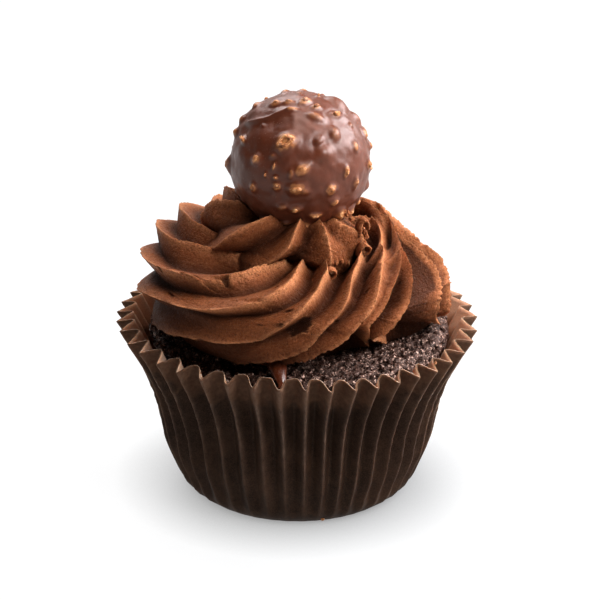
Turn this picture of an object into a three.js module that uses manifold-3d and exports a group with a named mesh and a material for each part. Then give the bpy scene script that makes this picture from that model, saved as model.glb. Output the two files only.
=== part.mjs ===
// A chocolate cupcake: a pleated paper case, a chocolate sponge, a two-tier piped swirl of
// chocolate buttercream and a nutty chocolate ball pressed into its top.
// Millimetres, +Z up, origin at the centre of the flat base, standing on z = 0.
import * as THREE from "three";
import { mergeVertices } from "three/addons/utils/BufferGeometryUtils.js";
import Module from "manifold-3d";

const wasm = await Module();
wasm.setup();

// ---------------------------------------------------------------- driving sizes
const GAP = 0.35; // clearance between neighbouring pieces

// paper case: a flat paper disc pressed into a pleated cup
const CASE_H = 35.4; // mean height of the rim
const BASE_R = 20.9; // edge of the flat base, over the pleats
const PLEATS = 44;
const PAPER = 0.6; // thickness measured along the radius (0.3 mm across the steep pleat walls)
const WALL = [ // height up the wall as a share, radius over the pleat tips
  [0, 20.9], [0.06, 23.5], [0.16, 25.2], [0.32, 27.3], [0.5, 28.5], [0.7, 30.6], [0.85, 33.1], [1, 36.0],
];
const CASE_ROWS = [0, 0.03, 0.1, 0.3, 0.62, 1];
const TIP_DROP = 1.15; // how much lower a pleat tip ends than the fold between two tips
// slow unevenness round the rim: [order, cosine, sine]
const PLEAT_WARP = [[1, 3.2, 4.4], [2, -1.6, 2.1], [3, 1.0, -0.8]]; // degrees
const PLEAT_FRONT = [6.3, -86, 38]; // pleats crowd towards the front right: [shift in degrees, azimuth, width]
const RIM_LIFT = [[1, -0.15, 0.25], [2, 0.35, 0.45], [3, -0.2, 0.1]]; // mm
const RIM_FRONT = [1.6, -90, 52]; // the rim stands higher at the front: [mm, azimuth, width in degrees]
const RIM_PUSH = [[2, 0.25, -0.45], [3, -0.3, 0.15], [5, 0.2, 0.1]]; // mm

// sponge
const CAKE_TOP = 35.4; // crown height
const CAKE_EDGE = 33.9; // height at which the wall of the case limits it
const SHOULDER = { in: 2.6, out: 2.2, level: 34.4, crown: 1.1, fall: 3.0 }; // the crust's rounded rim
const CAKE_SIDES = 48;

// buttercream, lower turn: a fat ring-shaped rope
const LOW = {
  cx: -0.4, cy: 0, R: 19.0, z: 44.2, a: 12.6, up: 9.0, down: 9.3, square: 2.5, valley: 3.4, ratio: 0.6,
  // local changes of its section: [amount, azimuth, width in degrees]
  flank: [1.0, 35, 62], rise: [[3.1, 43, 42], [2.6, 158, 38]], thin: [[3.2, 48, 34]], tuck: [4.8, -54, 23], boxy: [[1.6, -4, 24]],
  shelf: [[0.36, -128, 58], [0.42, -36, 44]], keen: [[1.0, -25, 52]],
  // grooves cut deeper: [groove, from, to, extra depth, extra share]
  deeper: [[5, -90, 6, 2.0, 0.15], [5, 4, 104, -0.8, -0.12], [6, -80, 84, 1.0, 0.18], [7, -60, 100, 1.0, 0.08]],
};
// azimuth of every crest (degrees) where it passes these heights of the rope's section
const LOW_STATIONS = [-45, -20, 0, 20, 40, 60, 70, 77, 81, 85, 93, 100, 115];
const LOW_CRESTS = [
  [-268, -246, -230, -214, -197, -178, -169, -164, -161, -157, -149, -140, -123],
  [-252, -230, -207, -183, -156, -131, -123, -119, -116, -114, -110, -107, -100],
  [-222, -196, -165, -121, -105, -97, -94, -92.6, -91.8, -91, -89, -87, -82],
  [-172, -136, -100, -92, -85.5, -81, -78.3, -76.3, -74.8, -73.3, -70, -68, -62],
  [-111, -90, -82, -75, -71, -66, -63, -60, -57.5, -55, -46, -34, -8],
  [-91, -79, -70, -63, -57, -51, -46, -41, -37, -31, -20, 12, 24],
  [-53, -61, -63, -57, -50, -38, -28, -18, -5, 4, 17, 50, 75],
  [-46, -56, -52, -44, -38, -29.5, -23.5, -15.6, -4.7, 4.3, 17.4, 50.4, 75.5],
  [-13, -22, -25, -21, -15, -11, -7, -4.5, -3, 4.6, 17.8, 50.8, 76],
  [-4, -8, -8, -2, -2, 1, 3, 5, 6, 7.5, 18.2, 51.2, 76.5],
  [8, 11, 16, 21, 25, 27, 27.2, 27.5, 28, 28.5, 35, 56, 80],
  [22, 28, 37, 45, 52, 59, 62, 66, 68, 71, 80, 93, 114],
  [38, 50, 61, 72, 83, 94, 100, 105, 108, 111, 121, 131, 150],
  [58, 72, 84, 97, 110, 125, 131, 137, 140, 144, 153, 162, 180],
  [78, 94, 108, 122, 137, 154, 161, 167, 170, 174, 183, 191, 208],
];
const MERGED = 1.3; // degrees kept between crests that run together
// buttercream, upper turn: a smaller ring whose tail ends torn at the right
const TOP = {
  cx: -2.8, cy: 0.3, R: 7.0, z: 54.3, a: 9.6, up: 7.4, down: 6.6, square: 2.2, valley: 3.0, ratio: 0.52,
  swell: [[1.5, -38, 18]], boxy: [[1.8, -38, 20]], deeper: [[4, -90, 62, -1.5, -0.15]],
  keen: [[0.8, -90, 60]],
};
const TOP_STATIONS = [-45, -15, 0, 22, 45, 90];
const TOP_CRESTS = [
  [-252, -238, -230, -223, -214, -178],
  [-214, -196, -190, -185, -180, -140],
  [-186, -155, -142, -130, -118, -84],
  [-132, -104, -94, -85, -79, -60],
  [-50, -57, -57, -57, -56.5, -53],
  [8, -9, -21, -33, -42, -49],
  [26, 22, 24, 27, 30, 50],
  [52, 60, 66, 73, 82, 108],
  [86, 96, 102, 109, 118, 152],
];
const TAIL = { from: -8, to: 66, shrink: 2.4 }; // the torn end of the rope: where the ring loses girth

// nutty chocolate ball
const BALL = { x: 0.5, y: 0.4, z: 68.2, r: 13.8, bump: 0.7 };

// ---------------------------------------------------------------- helpers
const rad = (d) => (d * Math.PI) / 180;
const deg = (r) => (r * 180) / Math.PI;
const lerp = (a, b, t) => a + (b - a) * t;
const wave = (terms, phi) => terms.reduce((s, [n, c, k]) => s + c * Math.cos(n * phi) + k * Math.sin(n * phi), 0);

// 1 at the azimuth `at`, falling off over `wide` degrees
const hump = (phi, at, wide) => Math.exp(-Math.pow(((((phi - at + 180) % 360) + 360) % 360 - 180) / wide, 2));
const smooth = (x, a, b) => {
  const t = Math.min(1, Math.max(0, (x - a) / (b - a)));
  return t * t * (3 - 2 * t);
};

// monotone cubic through (xs, ys), running straight on past both ends
function curve(xs, ys) {
  const n = xs.length, d = [], m = [];
  for (let i = 0; i < n - 1; i++) d.push((ys[i + 1] - ys[i]) / (xs[i + 1] - xs[i]));
  for (let i = 0; i < n; i++) {
    if (i === 0) m.push(d[0]);
    else if (i === n - 1) m.push(d[n - 2]);
    else if (d[i - 1] * d[i] <= 0) m.push(0);
    else {
      const h0 = xs[i] - xs[i - 1], h1 = xs[i + 1] - xs[i];
      const w1 = 2 * h1 + h0, w2 = h1 + 2 * h0;
      m.push((w1 + w2) / (w1 / d[i - 1] + w2 / d[i]));
    }
  }
  return (x) => {
    if (x <= xs[0]) return ys[0] + m[0] * (x - xs[0]);
    if (x >= xs[n - 1]) return ys[n - 1] + m[n - 1] * (x - xs[n - 1]);
    let i = 0;
    while (x > xs[i + 1]) i++;
    const h = xs[i + 1] - xs[i], t = (x - xs[i]) / h, t2 = t * t, t3 = t2 * t;
    return ys[i] * (2 * t3 - 3 * t2 + 1) + m[i] * h * (t3 - 2 * t2 + t) +
      ys[i + 1] * (-2 * t3 + 3 * t2) + m[i + 1] * h * (t3 - t2);
  };
}

// closed skin from rings of equal length, first and last ring shut by a fan to a centre point
function skin(rings, first, last) {
  const n = rings[0].length, pos = [], idx = [];
  rings.forEach((ring) => ring.forEach((p) => pos.push(...p)));
  for (let j = 0; j < rings.length - 1; j++)
    for (let i = 0; i < n; i++) {
      const a = j * n + i, b = j * n + ((i + 1) % n), c = a + n, d = b + n;
      const at = (v) => rings[Math.floor(v / n)][v % n], far = (v, w) => Math.hypot(...at(v).map((x, q) => x - at(w)[q]));
      if (far(a, d) <= far(b, c)) idx.push(a, b, d, a, d, c); // the shorter diagonal follows the folds
      else idx.push(a, b, c, b, d, c);
    }
  const p = pos.length / 3, q = p + 1, top = (rings.length - 1) * n;
  pos.push(...first, ...last);
  for (let i = 0; i < n; i++) {
    idx.push(p, (i + 1) % n, i);
    idx.push(q, top + i, top + ((i + 1) % n));
  }
  const g = new THREE.BufferGeometry();
  g.setAttribute("position", new THREE.Float32BufferAttribute(pos, 3));
  g.setIndex(idx);
  return g;
}

function solid(geometry) {
  const g = geometry.clone();
  g.deleteAttribute("normal");
  g.deleteAttribute("uv");
  const m = mergeVertices(g, 1e-4);
  return new wasm.Manifold(new wasm.Mesh({
    numProp: 3,
    vertProperties: new Float32Array(m.attributes.position.array),
    triVerts: new Uint32Array(m.index.array),
  }));
}

function geometryOf(manifold) {
  const m = manifold.getMesh(), v = new Float32Array(m.numVert * 3);
  for (let i = 0; i < m.numVert; i++) v.set(m.vertProperties.subarray(i * m.numProp, i * m.numProp + 3), i * 3);
  const g = new THREE.BufferGeometry();
  g.setAttribute("position", new THREE.BufferAttribute(v, 3));
  g.setIndex(new THREE.BufferAttribute(new Uint32Array(m.triVerts), 1));
  g.computeVertexNormals();
  return g;
}

const largest = (manifold) => manifold.decompose().sort((a, b) => b.volume() - a.volume())[0];

// ---------------------------------------------------------------- paper case
const wallRadius = curve(WALL.map((w) => w[0]), WALL.map((w) => w[1]));

// Paper length up the wall to a height share; the disc keeps its girth, so the spare paper folds into pleats.
const slant = (() => {
  const steps = 60, s = [0];
  for (let i = 1; i <= steps; i++)
    s.push(s[i - 1] + Math.hypot(CASE_H / steps, wallRadius(i / steps) - wallRadius((i - 1) / steps)));
  return (t) => {
    const k = Math.min(steps - 1, Math.floor(t * steps));
    return lerp(s[k], s[k + 1], t * steps - k);
  };
})();
function pleatDepth(t) {
  const half = (Math.PI * (BASE_R + slant(t))) / PLEATS, pitch = (Math.PI * (wallRadius(t) - 1.5)) / PLEATS;
  return Math.sqrt(Math.max(0, half * half - pitch * pitch)) * Math.min(1, 0.15 + t * 6);
}
// outer face of the case at azimuth position k (in pleats) and height share t
function casePoint(k, t, inset) {
  const base = (2 * Math.PI * k) / PLEATS;
  const phi = base + rad(wave(PLEAT_WARP, base) + PLEAT_FRONT[0] * hump(deg(base), PLEAT_FRONT[1], PLEAT_FRONT[2]));
  const u = k - Math.floor(k), fold = Math.abs(Math.sin(Math.PI * u));
  const r = wallRadius(t) - pleatDepth(t) * Math.pow(fold, 0.95) + wave(RIM_PUSH, phi) * t * t - inset;
  const z = (CASE_H - TIP_DROP * (1 - fold) + wave(RIM_LIFT, phi) + RIM_FRONT[0] * hump(deg(phi), RIM_FRONT[1], RIM_FRONT[2])) * t;
  return [r * Math.cos(phi), r * Math.sin(phi), z];
}
function paperCase() {
  const COLS = 4, n = PLEATS * COLS, rings = [];
  const ring = (t, inset, lift) => Array.from({ length: n }, (_, i) => {
    const p = casePoint(i / COLS, t, inset);
    return [p[0], p[1], p[2] + lift];
  });
  for (const t of CASE_ROWS) rings.push(ring(t, 0, 0));
  for (const t of CASE_ROWS.slice().reverse()) rings.push(ring(t, PAPER, t > 0.5 ? 0 : PAPER * (1 - 2 * t)));
  return skin(rings, [0, 0, 0], [0, 0, PAPER]);
}

// ---------------------------------------------------------------- sponge
function sponge() {
  const rings = [];
  const inner = (t) => wallRadius(t) - pleatDepth(t) - PAPER - GAP - 0.45 * Math.min(1, t * 3);
  const bottom = PAPER + GAP;
  const share = (z) => z / CASE_H;
  const ring = (r, z, rough) => Array.from({ length: CAKE_SIDES }, (_, i) => {
    const phi = (2 * Math.PI * i) / CAKE_SIDES;
    const push = wave(RIM_PUSH, phi) * share(z) * share(z);
    return [(r + push) * Math.cos(phi), (r + push) * Math.sin(phi), z + rough * Math.sin(5 * phi + r) * 0.25];
  });
  const top = inner(share(CAKE_EDGE)) - SHOULDER.in;
  for (const z of [bottom, 4, 12, 20, 27])
    rings.push(ring(Math.min(inner(share(z)), z < 1 ? BASE_R - 1.6 : 99), z, 0));
  for (const a of [1, 0.72, 0.45, 0.2]) // the rim rolls over from the wall on to the crust
    rings.push(ring(top + SHOULDER.out * Math.sin((a * Math.PI) / 2), SHOULDER.level - SHOULDER.fall * (1 - Math.cos((a * Math.PI) / 2)), 0));
  for (const r of [top, 0.86 * top, 0.7 * top])
    rings.push(ring(r, Math.min(CAKE_TOP - 0.05, SHOULDER.level + SHOULDER.crown * (1 - Math.pow(r / top, 3))), 0));
  rings.push(ring(10, CAKE_TOP, 0));
  return skin(rings, [0, 0, bottom], [0, 0, CAKE_TOP]);
}

// ---------------------------------------------------------------- buttercream
// One tier: a ring-shaped rope whose section carries the sharp crests and V-shaped valleys of a star nozzle.
// The crests wind over the rope, so the skin is laid out along them.
function tier(T, stations, crests, psis, us, girth) {
  const lines = crests.map((c) => curve(stations, c));
  const N = crests.length;
  const row = (psi) => { // every crest's azimuth at one height, kept in order
    const a = lines.map((f) => f(psi));
    for (let k = 1; k < N; k++) a[k] = Math.max(a[k], a[k - 1] + MERGED);
    return a;
  };
  const crest = (k, psi) => row(psi)[((k % N) + N) % N] + 360 * Math.floor(k / N);
  const hull = (phi, psi) => {
    const c = Math.cos(rad(psi)), s = Math.sin(rad(psi));
    let g = girth(phi), square = T.square, up = T.up;
    if (T.flank && s > 0 && c > 0) square = lerp(square, T.flank[0], hump(phi, T.flank[1], T.flank[2]));
    for (const [v, at, wide] of T.rise ?? []) up += v * hump(phi, at, wide);
    for (const [v, at, wide] of T.thin ?? []) g += v * hump(phi, at, wide);
    for (const [v, at, wide] of T.swell ?? []) g -= v * hump(phi, at, wide) * smooth(-psi, -40, 10);
    if (s < 0) for (const [v, at, wide] of T.boxy ?? []) square += v * hump(phi, at, wide);
    const e = 2 / square;
    const x = Math.sign(c) * Math.pow(Math.abs(c), e), y = Math.sign(s) * Math.pow(Math.abs(s), e);
    let r = T.R + (T.a - g) * x;
    if (T.tuck) r -= T.tuck[0] * hump(phi, T.tuck[1], T.tuck[2]) * smooth(-psi, -4, 30);
    return [r, T.z + (s > 0 ? up : T.down) * y];
  };
  const point = (k, u, psi) => {
    const f0 = crest(k, psi), f1 = crest(k + 1, psi), phi = lerp(f0, f1, u);
    const [r, z] = hull(phi, psi);
    // pitch across the crests: their slant over the skin narrows it
    const [r2, z2] = hull(phi, psi + 2), ds = Math.hypot(r2 - r, z2 - z);
    const slope = (r * rad(lerp(crest(k, psi + 2), crest(k + 1, psi + 2), u) - phi)) / Math.max(ds, 1e-3);
    const pitch = (r * rad(f1 - f0)) / Math.sqrt(1 + slope * slope);
    let cap = T.valley, ratio = T.ratio;
    for (const [k0, from, to, mm, more] of T.deeper ?? []) {
      const w = k === k0 ? smooth(psi, from, from + 14) * (1 - smooth(psi, to - 14, to)) : 0;
      cap += mm * w;
      ratio += more * w;
    }
    // the groove's bottom is a V that leans towards one crest, deepest where the crests stand keen
    let lean = 1;
    for (const [v, at, wide] of T.shelf ?? []) lean -= v * hump(phi, at, wide);
    for (const [v, at, wide] of T.keen ?? []) cap += 0.7 * v * hump(phi, at, wide);
    const across = Math.pow(u, lean), vee = 1 - Math.abs(2 * across - 1);
    const depth = Math.min(cap, ratio * pitch) * Math.pow(Math.max(0, 0.38 * Math.sin(Math.PI * across) + 0.62 * vee), 0.85);
    const nx = (z2 - z) / Math.max(ds, 1e-3), nz = -(r2 - r) / Math.max(ds, 1e-3);
    const rr = r - depth * nx, zz = z - depth * nz;
    return [T.cx + rr * Math.cos(rad(phi)), T.cy + rr * Math.sin(rad(phi)), zz];
  };
  const rings = psis.map((psi) => {
    const ring = [];
    for (let k = 0; k < N; k++) for (const u of us) ring.push(point(k, u, psi));
    return ring;
  });
  const low = Math.min(...rings[0].map((p) => p[2]));
  rings[0].forEach((p) => (p[2] = low));
  const last = rings[rings.length - 1], high = last.reduce((s, p) => s + p[2], 0) / last.length;
  return skin(rings, [T.cx, T.cy, low], [T.cx, T.cy, high]);
}
const steady = () => 0;
const tail = (phi) => {
  const d = ((phi % 360) + 540) % 360 - 180, t = (d - TAIL.from) / (TAIL.to - TAIL.from);
  return t > 0 && t < 1 ? TAIL.shrink * Math.sqrt(Math.max(0, Math.sin(Math.PI * Math.min(1, t * 1.2)))) : 0;
};

// ---------------------------------------------------------------- nutty chocolate ball
function ball(grow) {
  const g = new THREE.IcosahedronGeometry(1, 6);
  g.deleteAttribute("normal");
  g.deleteAttribute("uv");
  const m = mergeVertices(g, 1e-5), p = m.attributes.position, v = new THREE.Vector3();
  const seeds = Array.from({ length: 46 }, (_, i) => { // bumps spread over the ball by the golden angle
    const z = 1 - (2 * i + 1) / 46, a = i * 2.39996 + 0.35 * Math.sin(i * 7.1), s = Math.sqrt(1 - z * z);
    return new THREE.Vector3(s * Math.cos(a), s * Math.sin(a), z);
  });
  for (let i = 0; i < p.count; i++) {
    v.fromBufferAttribute(p, i).normalize();
    let h = 0;
    for (const s of seeds) h = Math.max(h, Math.exp(-Math.pow(v.angleTo(s) / 0.13, 2)));
    v.multiplyScalar(BALL.r + BALL.bump * h + grow);
    p.setXYZ(i, v.x, v.y, v.z);
  }
  return m.translate(BALL.x, BALL.y, BALL.z);
}

// ---------------------------------------------------------------- pieces
const US = [0, 0.16, 0.5, 0.84];
const LOW_ROWS = [-62, -46, -30, -14, 2, 18, 33, 47, 60, 71, 81, 91, 103, 116];
const TOP_ROWS = [-60, -34, -12, 8, 26, 44, 62, 82, 105];
const lowTier = solid(tier(LOW, LOW_STATIONS, LOW_CRESTS, LOW_ROWS, US, steady));
const topTier = solid(tier(TOP, TOP_STATIONS, TOP_CRESTS, TOP_ROWS, US, tail));
const bed = solid(ball(GAP));
const frostingSolid = largest(lowTier.add(topTier).subtract(bed));

const pieces = {
  paper_case: [paperCase(), 0x3a2a21, 0.82],
  cake: [sponge(), 0x24120c, 0.95],
  frosting: [geometryOf(frostingSolid), 0x6e3a20, 0.6],
  chocolate_ball: [ball(0), 0x5b3026, 0.38],
};

const cupcake = new THREE.Group();
cupcake.name = "cupcake";
const paperBox = new THREE.Box3().setFromBufferAttribute(pieces.paper_case[0].attributes.position);
const middle = paperBox.getCenter(new THREE.Vector3());
for (const [name, [geometry, color, roughness]] of Object.entries(pieces)) {
  geometry.computeVertexNormals();
  const mesh = new THREE.Mesh(geometry, new THREE.MeshStandardMaterial({ color, roughness, metalness: 0 }));
  mesh.name = name;
  mesh.position.set(-middle.x, -middle.y, 0); // the footprint's middle on the axis
  cupcake.add(mesh);
}

export default cupcake;
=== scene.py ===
import math

import bpy
import numpy as np
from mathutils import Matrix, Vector


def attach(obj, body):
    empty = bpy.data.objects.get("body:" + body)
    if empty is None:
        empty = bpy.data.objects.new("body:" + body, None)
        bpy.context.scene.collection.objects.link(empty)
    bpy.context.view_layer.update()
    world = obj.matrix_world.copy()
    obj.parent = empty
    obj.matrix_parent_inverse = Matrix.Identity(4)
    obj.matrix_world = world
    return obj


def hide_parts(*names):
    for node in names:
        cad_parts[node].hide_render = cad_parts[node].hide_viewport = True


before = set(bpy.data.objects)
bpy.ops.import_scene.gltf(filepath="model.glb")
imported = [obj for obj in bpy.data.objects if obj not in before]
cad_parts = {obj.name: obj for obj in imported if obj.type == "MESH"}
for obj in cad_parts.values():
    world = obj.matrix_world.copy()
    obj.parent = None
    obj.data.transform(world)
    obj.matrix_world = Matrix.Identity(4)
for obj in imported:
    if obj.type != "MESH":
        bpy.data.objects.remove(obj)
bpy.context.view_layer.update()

# =====================================================================================
# Sizes in millimetres, in the CAD part's own frame before its footprint was centred.
# =====================================================================================
MM = 0.001
SHIFT = np.array([0.1216, 0.0904, 0.0])

CASE_H, BASE_R, PLEATS = 35.4, 20.9, 44
WALL = [(0, 20.9), (0.06, 23.5), (0.16, 25.2), (0.32, 27.3), (0.5, 28.5), (0.7, 30.6), (0.85, 33.1), (1, 36.0)]
TIP_DROP = 1.15
PLEAT_WARP = [(1, 3.2, 4.4), (2, -1.6, 2.1), (3, 1.0, -0.8)]
PLEAT_FRONT = (6.3, -86, 38)
RIM_LIFT = [(1, -0.15, 0.25), (2, 0.35, 0.45), (3, -0.2, 0.1)]
RIM_FRONT = (1.6, -90, 52)
RIM_PUSH = [(2, 0.25, -0.45), (3, -0.3, 0.15), (5, 0.2, 0.1)]

CAKE_TOP, CAKE_EDGE = 35.4, 33.9

LOW = dict(cx=-0.4, cy=0.0, R=19.0, z=44.2, a=12.6, up=9.0, down=9.3, square=2.5, valley=3.6, ratio=0.72,
           boxy=[(1.6, -4, 24)], flank=(1.0, 35, 62), rise=[(3.1, 43, 42), (2.6, 158, 38)], thin=[(3.2, 48, 34)], tuck=(4.8, -54, 23))
STATIONS = [-45, -20, 0, 20, 40, 60, 70, 77, 81, 85, 93, 100, 115]
LOW_CRESTS = [
    [-268, -246, -230, -214, -197, -178, -169, -164, -161, -157, -149, -140, -123],
    [-252, -230, -207, -183, -156, -131, -123, -119, -116, -114, -110, -107, -100],
    [-222, -196, -165, -121, -105, -97, -94, -92.6, -91.8, -91, -89, -87, -82],
    [-172, -136, -100, -92, -85.5, -81, -78.3, -76.3, -74.8, -73.3, -70, -68, -62],
    [-111, -90, -82, -75, -71, -66, -63, -60, -57.5, -55, -46, -34, -8],
    [-91, -79, -70, -63, -57, -51, -46, -41, -37, -31, -20, 12, 24],
    [-53, -61, -63, -57, -50, -38, -28, -18, -5, 4, 17, 50, 75],
    [-46, -56, -52, -44, -38, -29.5, -23.5, -15.6, -4.7, 4.3, 17.4, 50.4, 75.5],
    [-13, -22, -25, -21, -15, -11, -7, -4.5, -3, 4.6, 17.8, 50.8, 76],
    [-4, -8, -8, -2, -2, 1, 3, 5, 6, 7.5, 18.2, 51.2, 76.5],
    [8, 11, 16, 21, 25, 27, 27.2, 27.5, 28, 28.5, 35, 56, 80],
    [22, 28, 37, 45, 52, 59, 62, 66, 68, 71, 80, 93, 114],
    [38, 50, 61, 72, 83, 94, 100, 105, 108, 111, 121, 131, 150],
    [58, 72, 84, 97, 110, 125, 131, 137, 140, 144, 153, 162, 180],
    [78, 94, 108, 122, 137, 154, 161, 167, 170, 174, 183, 191, 208],
]
TOP = dict(cx=-2.8, cy=0.3, R=7.0, z=54.3, a=9.6, up=7.4, down=6.6, square=2.2, valley=3.0, ratio=0.58)
TOP_STATIONS = [-45, -15, 0, 22, 45, 90]
TOP_CRESTS = [
    [-252, -238, -230, -223, -214, -178],
    [-214, -196, -190, -185, -180, -140],
    [-186, -155, -142, -130, -118, -84],
    [-132, -104, -94, -85, -79, -60],
    [-50, -57, -57, -57, -56.5, -53],
    [8, -9, -21, -33, -42, -49],
    [26, 22, 24, 27, 30, 50],
    [52, 60, 66, 73, 82, 108],
    [86, 96, 102, 109, 118, 152],
]
TAIL = (-8, 66, 2.4)
BALL_C, BALL_R = np.array([0.5, 0.4, 68.2]), 13.8
# torn bits round the end of the rope: where each lies, and its radius
CURL = (6.3, -16.6, 51.5)
FLAKES = [
    ((8.9, -7.6, 60.9), 0.62),
    ((9.8, -7.2, 60.1), 0.50),
    ((10.6, -6.8, 58.9), 0.60),
    ((11.6, -6.2, 58.7), 0.50),
    ((12.4, -5.9, 57.9), 0.62),
    ((12.2, -5.8, 56.4), 0.50),
    ((13.0, -5.2, 55.7), 0.60),
    ((13.4, -5.0, 54.4), 0.55),
    ((13.2, -6.0, 53.3), 0.50),
    ((13.8, -8.5, 53.3), 0.50),
    ((12.6, -9.0, 53.0), 0.55),
    ((7.5, -13.0, 52.2), 0.42),
    ((8.7, -12.5, 52.2), 0.38),
    ((9.8, -12.0, 51.8), 0.40),
]


# =====================================================================================
# Small numeric helpers
# =====================================================================================
def wave(terms, phi):
    return sum(c * np.cos(n * phi) + k * np.sin(n * phi) for n, c, k in terms)


def smooth(x, a, b):
    t = np.clip((x - a) / (b - a), 0, 1)
    return t * t * (3 - 2 * t)


def hump(phi, at, wide):
    """1 at the azimuth `at`, falling off over `wide` degrees."""
    return np.exp(-(((phi - at + 180) % 360 - 180) / wide) ** 2)


def curve(xs, ys):
    """Monotone cubic through (xs, ys), straight past both ends."""
    xs, ys = np.asarray(xs, float), np.asarray(ys, float)
    h = np.diff(xs)
    d = np.diff(ys) / h
    m = np.zeros_like(ys)
    m[0], m[-1] = d[0], d[-1]
    for i in range(1, len(xs) - 1):
        if d[i - 1] * d[i] > 0:
            w1, w2 = 2 * h[i] + h[i - 1], h[i] + 2 * h[i - 1]
            m[i] = (w1 + w2) / (w1 / d[i - 1] + w2 / d[i])

    def f(x):
        x = np.asarray(x, float)
        i = np.clip(np.searchsorted(xs, x) - 1, 0, len(h) - 1)
        t = (x - xs[i]) / h[i]
        t2, t3 = t * t, t * t * t
        y = (ys[i] * (2 * t3 - 3 * t2 + 1) + m[i] * h[i] * (t3 - 2 * t2 + t)
             + ys[i + 1] * (-2 * t3 + 3 * t2) + m[i + 1] * h[i] * (t3 - t2))
        y = np.where(x < xs[0], ys[0] + m[0] * (x - xs[0]), y)
        return np.where(x > xs[-1], ys[-1] + m[-1] * (x - xs[-1]), y)

    return f


def _table(seed):
    rng = np.random.default_rng(seed)
    perm = rng.permutation(256)
    g = rng.normal(size=(256, 3))
    return np.concatenate([perm, perm]), g / np.linalg.norm(g, axis=1)[:, None]


_tables = {}


def noise(p, seed=0):
    """Gradient noise, about -1 to 1, for points (..., 3)."""
    if seed not in _tables:
        _tables[seed] = _table(seed)
    perm, grad = _tables[seed]
    shape = p.shape[:-1]
    p = p.reshape(-1, 3)
    c = np.floor(p).astype(np.int64)
    f = p - c
    w = f * f * f * (f * (f * 6 - 15) + 10)
    out = np.zeros(len(p))
    for dx in (0, 1):
        for dy in (0, 1):
            for dz in (0, 1):
                h = perm[(perm[(perm[(c[:, 0] + dx) & 255] + c[:, 1] + dy) & 255] + c[:, 2] + dz) & 255]
                v = (grad[h] * (f - [dx, dy, dz])).sum(1)
                out += v * (w[:, 0] if dx else 1 - w[:, 0]) * (w[:, 1] if dy else 1 - w[:, 1]) * (w[:, 2] if dz else 1 - w[:, 2])
    return (out * 1.6).reshape(shape)


def fbm(p, octaves=3, seed=0, gain=0.5):
    return sum(gain ** i * noise(p * 2.03 ** i, seed + i) for i in range(octaves))


def cells(p, seed=0, both=False):
    """Distance to the nearest of one random point per unit cell (and the second nearest)."""
    rng = np.random.default_rng(seed)
    perm = np.concatenate([rng.permutation(256)] * 2)
    spots = rng.random((256, 3))
    shape = p.shape[:-1]
    p = p.reshape(-1, 3)
    c = np.floor(p).astype(np.int64)
    f1 = np.full(len(p), 9.0)
    f2 = np.full(len(p), 9.0)
    for dx in (-1, 0, 1):
        for dy in (-1, 0, 1):
            for dz in (-1, 0, 1):
                q = c + [dx, dy, dz]
                h = perm[(perm[(perm[q[:, 0] & 255] + q[:, 1]) & 255] + q[:, 2]) & 255]
                d = np.linalg.norm(q + spots[h] - p, axis=1)
                f2 = np.minimum(f2, np.maximum(f1, d))
                f1 = np.minimum(f1, d)
    if both:
        return f1.reshape(shape), f2.reshape(shape)
    return f1.reshape(shape)


# =====================================================================================
# Mesh helpers
# =====================================================================================
def mesh_object(name, verts, faces, attrs=None, shade=True):
    """verts in millimetres before centring; faces a list of arrays of quads or triangles."""
    me = bpy.data.meshes.new(name)
    co = (np.asarray(verts, float) + SHIFT) * MM
    me.vertices.add(len(co))
    me.vertices.foreach_set("co", co.astype(np.float32).ravel())
    loops = np.concatenate([f.ravel() for f in faces])
    sizes = np.concatenate([np.full(len(f), f.shape[1]) for f in faces])
    me.loops.add(len(loops))
    me.loops.foreach_set("vertex_index", loops.astype(np.int32))
    me.polygons.add(len(sizes))
    me.polygons.foreach_set("loop_start", np.concatenate([[0], np.cumsum(sizes)[:-1]]).astype(np.int32))
    me.update(calc_edges=True)
    me.validate()
    for key, values in (attrs or {}).items():
        a = me.attributes.new(key, "FLOAT", "POINT")
        a.data.foreach_set("value", np.asarray(values, np.float32).ravel())
    if shade:
        me.polygons.foreach_set("use_smooth", np.ones(len(me.polygons), bool))
    ob = bpy.data.objects.new(name, me)
    bpy.context.scene.collection.objects.link(ob)
    return ob


def grid_faces(rows, cols, start=0, wrap=True, flip=False):
    i = np.arange(cols if wrap else cols - 1)
    j = np.arange(rows - 1)
    a = start + j[:, None] * cols + i[None, :]
    b = start + j[:, None] * cols + (i[None, :] + 1) % cols
    q = np.stack([a, b, b + cols, a + cols], -1).reshape(-1, 4)
    return q[:, ::-1].copy() if flip else q


def fan(ring, centre, flip=False):
    nxt = np.roll(ring, -1)
    t = np.stack([ring, nxt, np.full(len(ring), centre)], -1)
    return t[:, ::-1].copy() if flip else t


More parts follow.
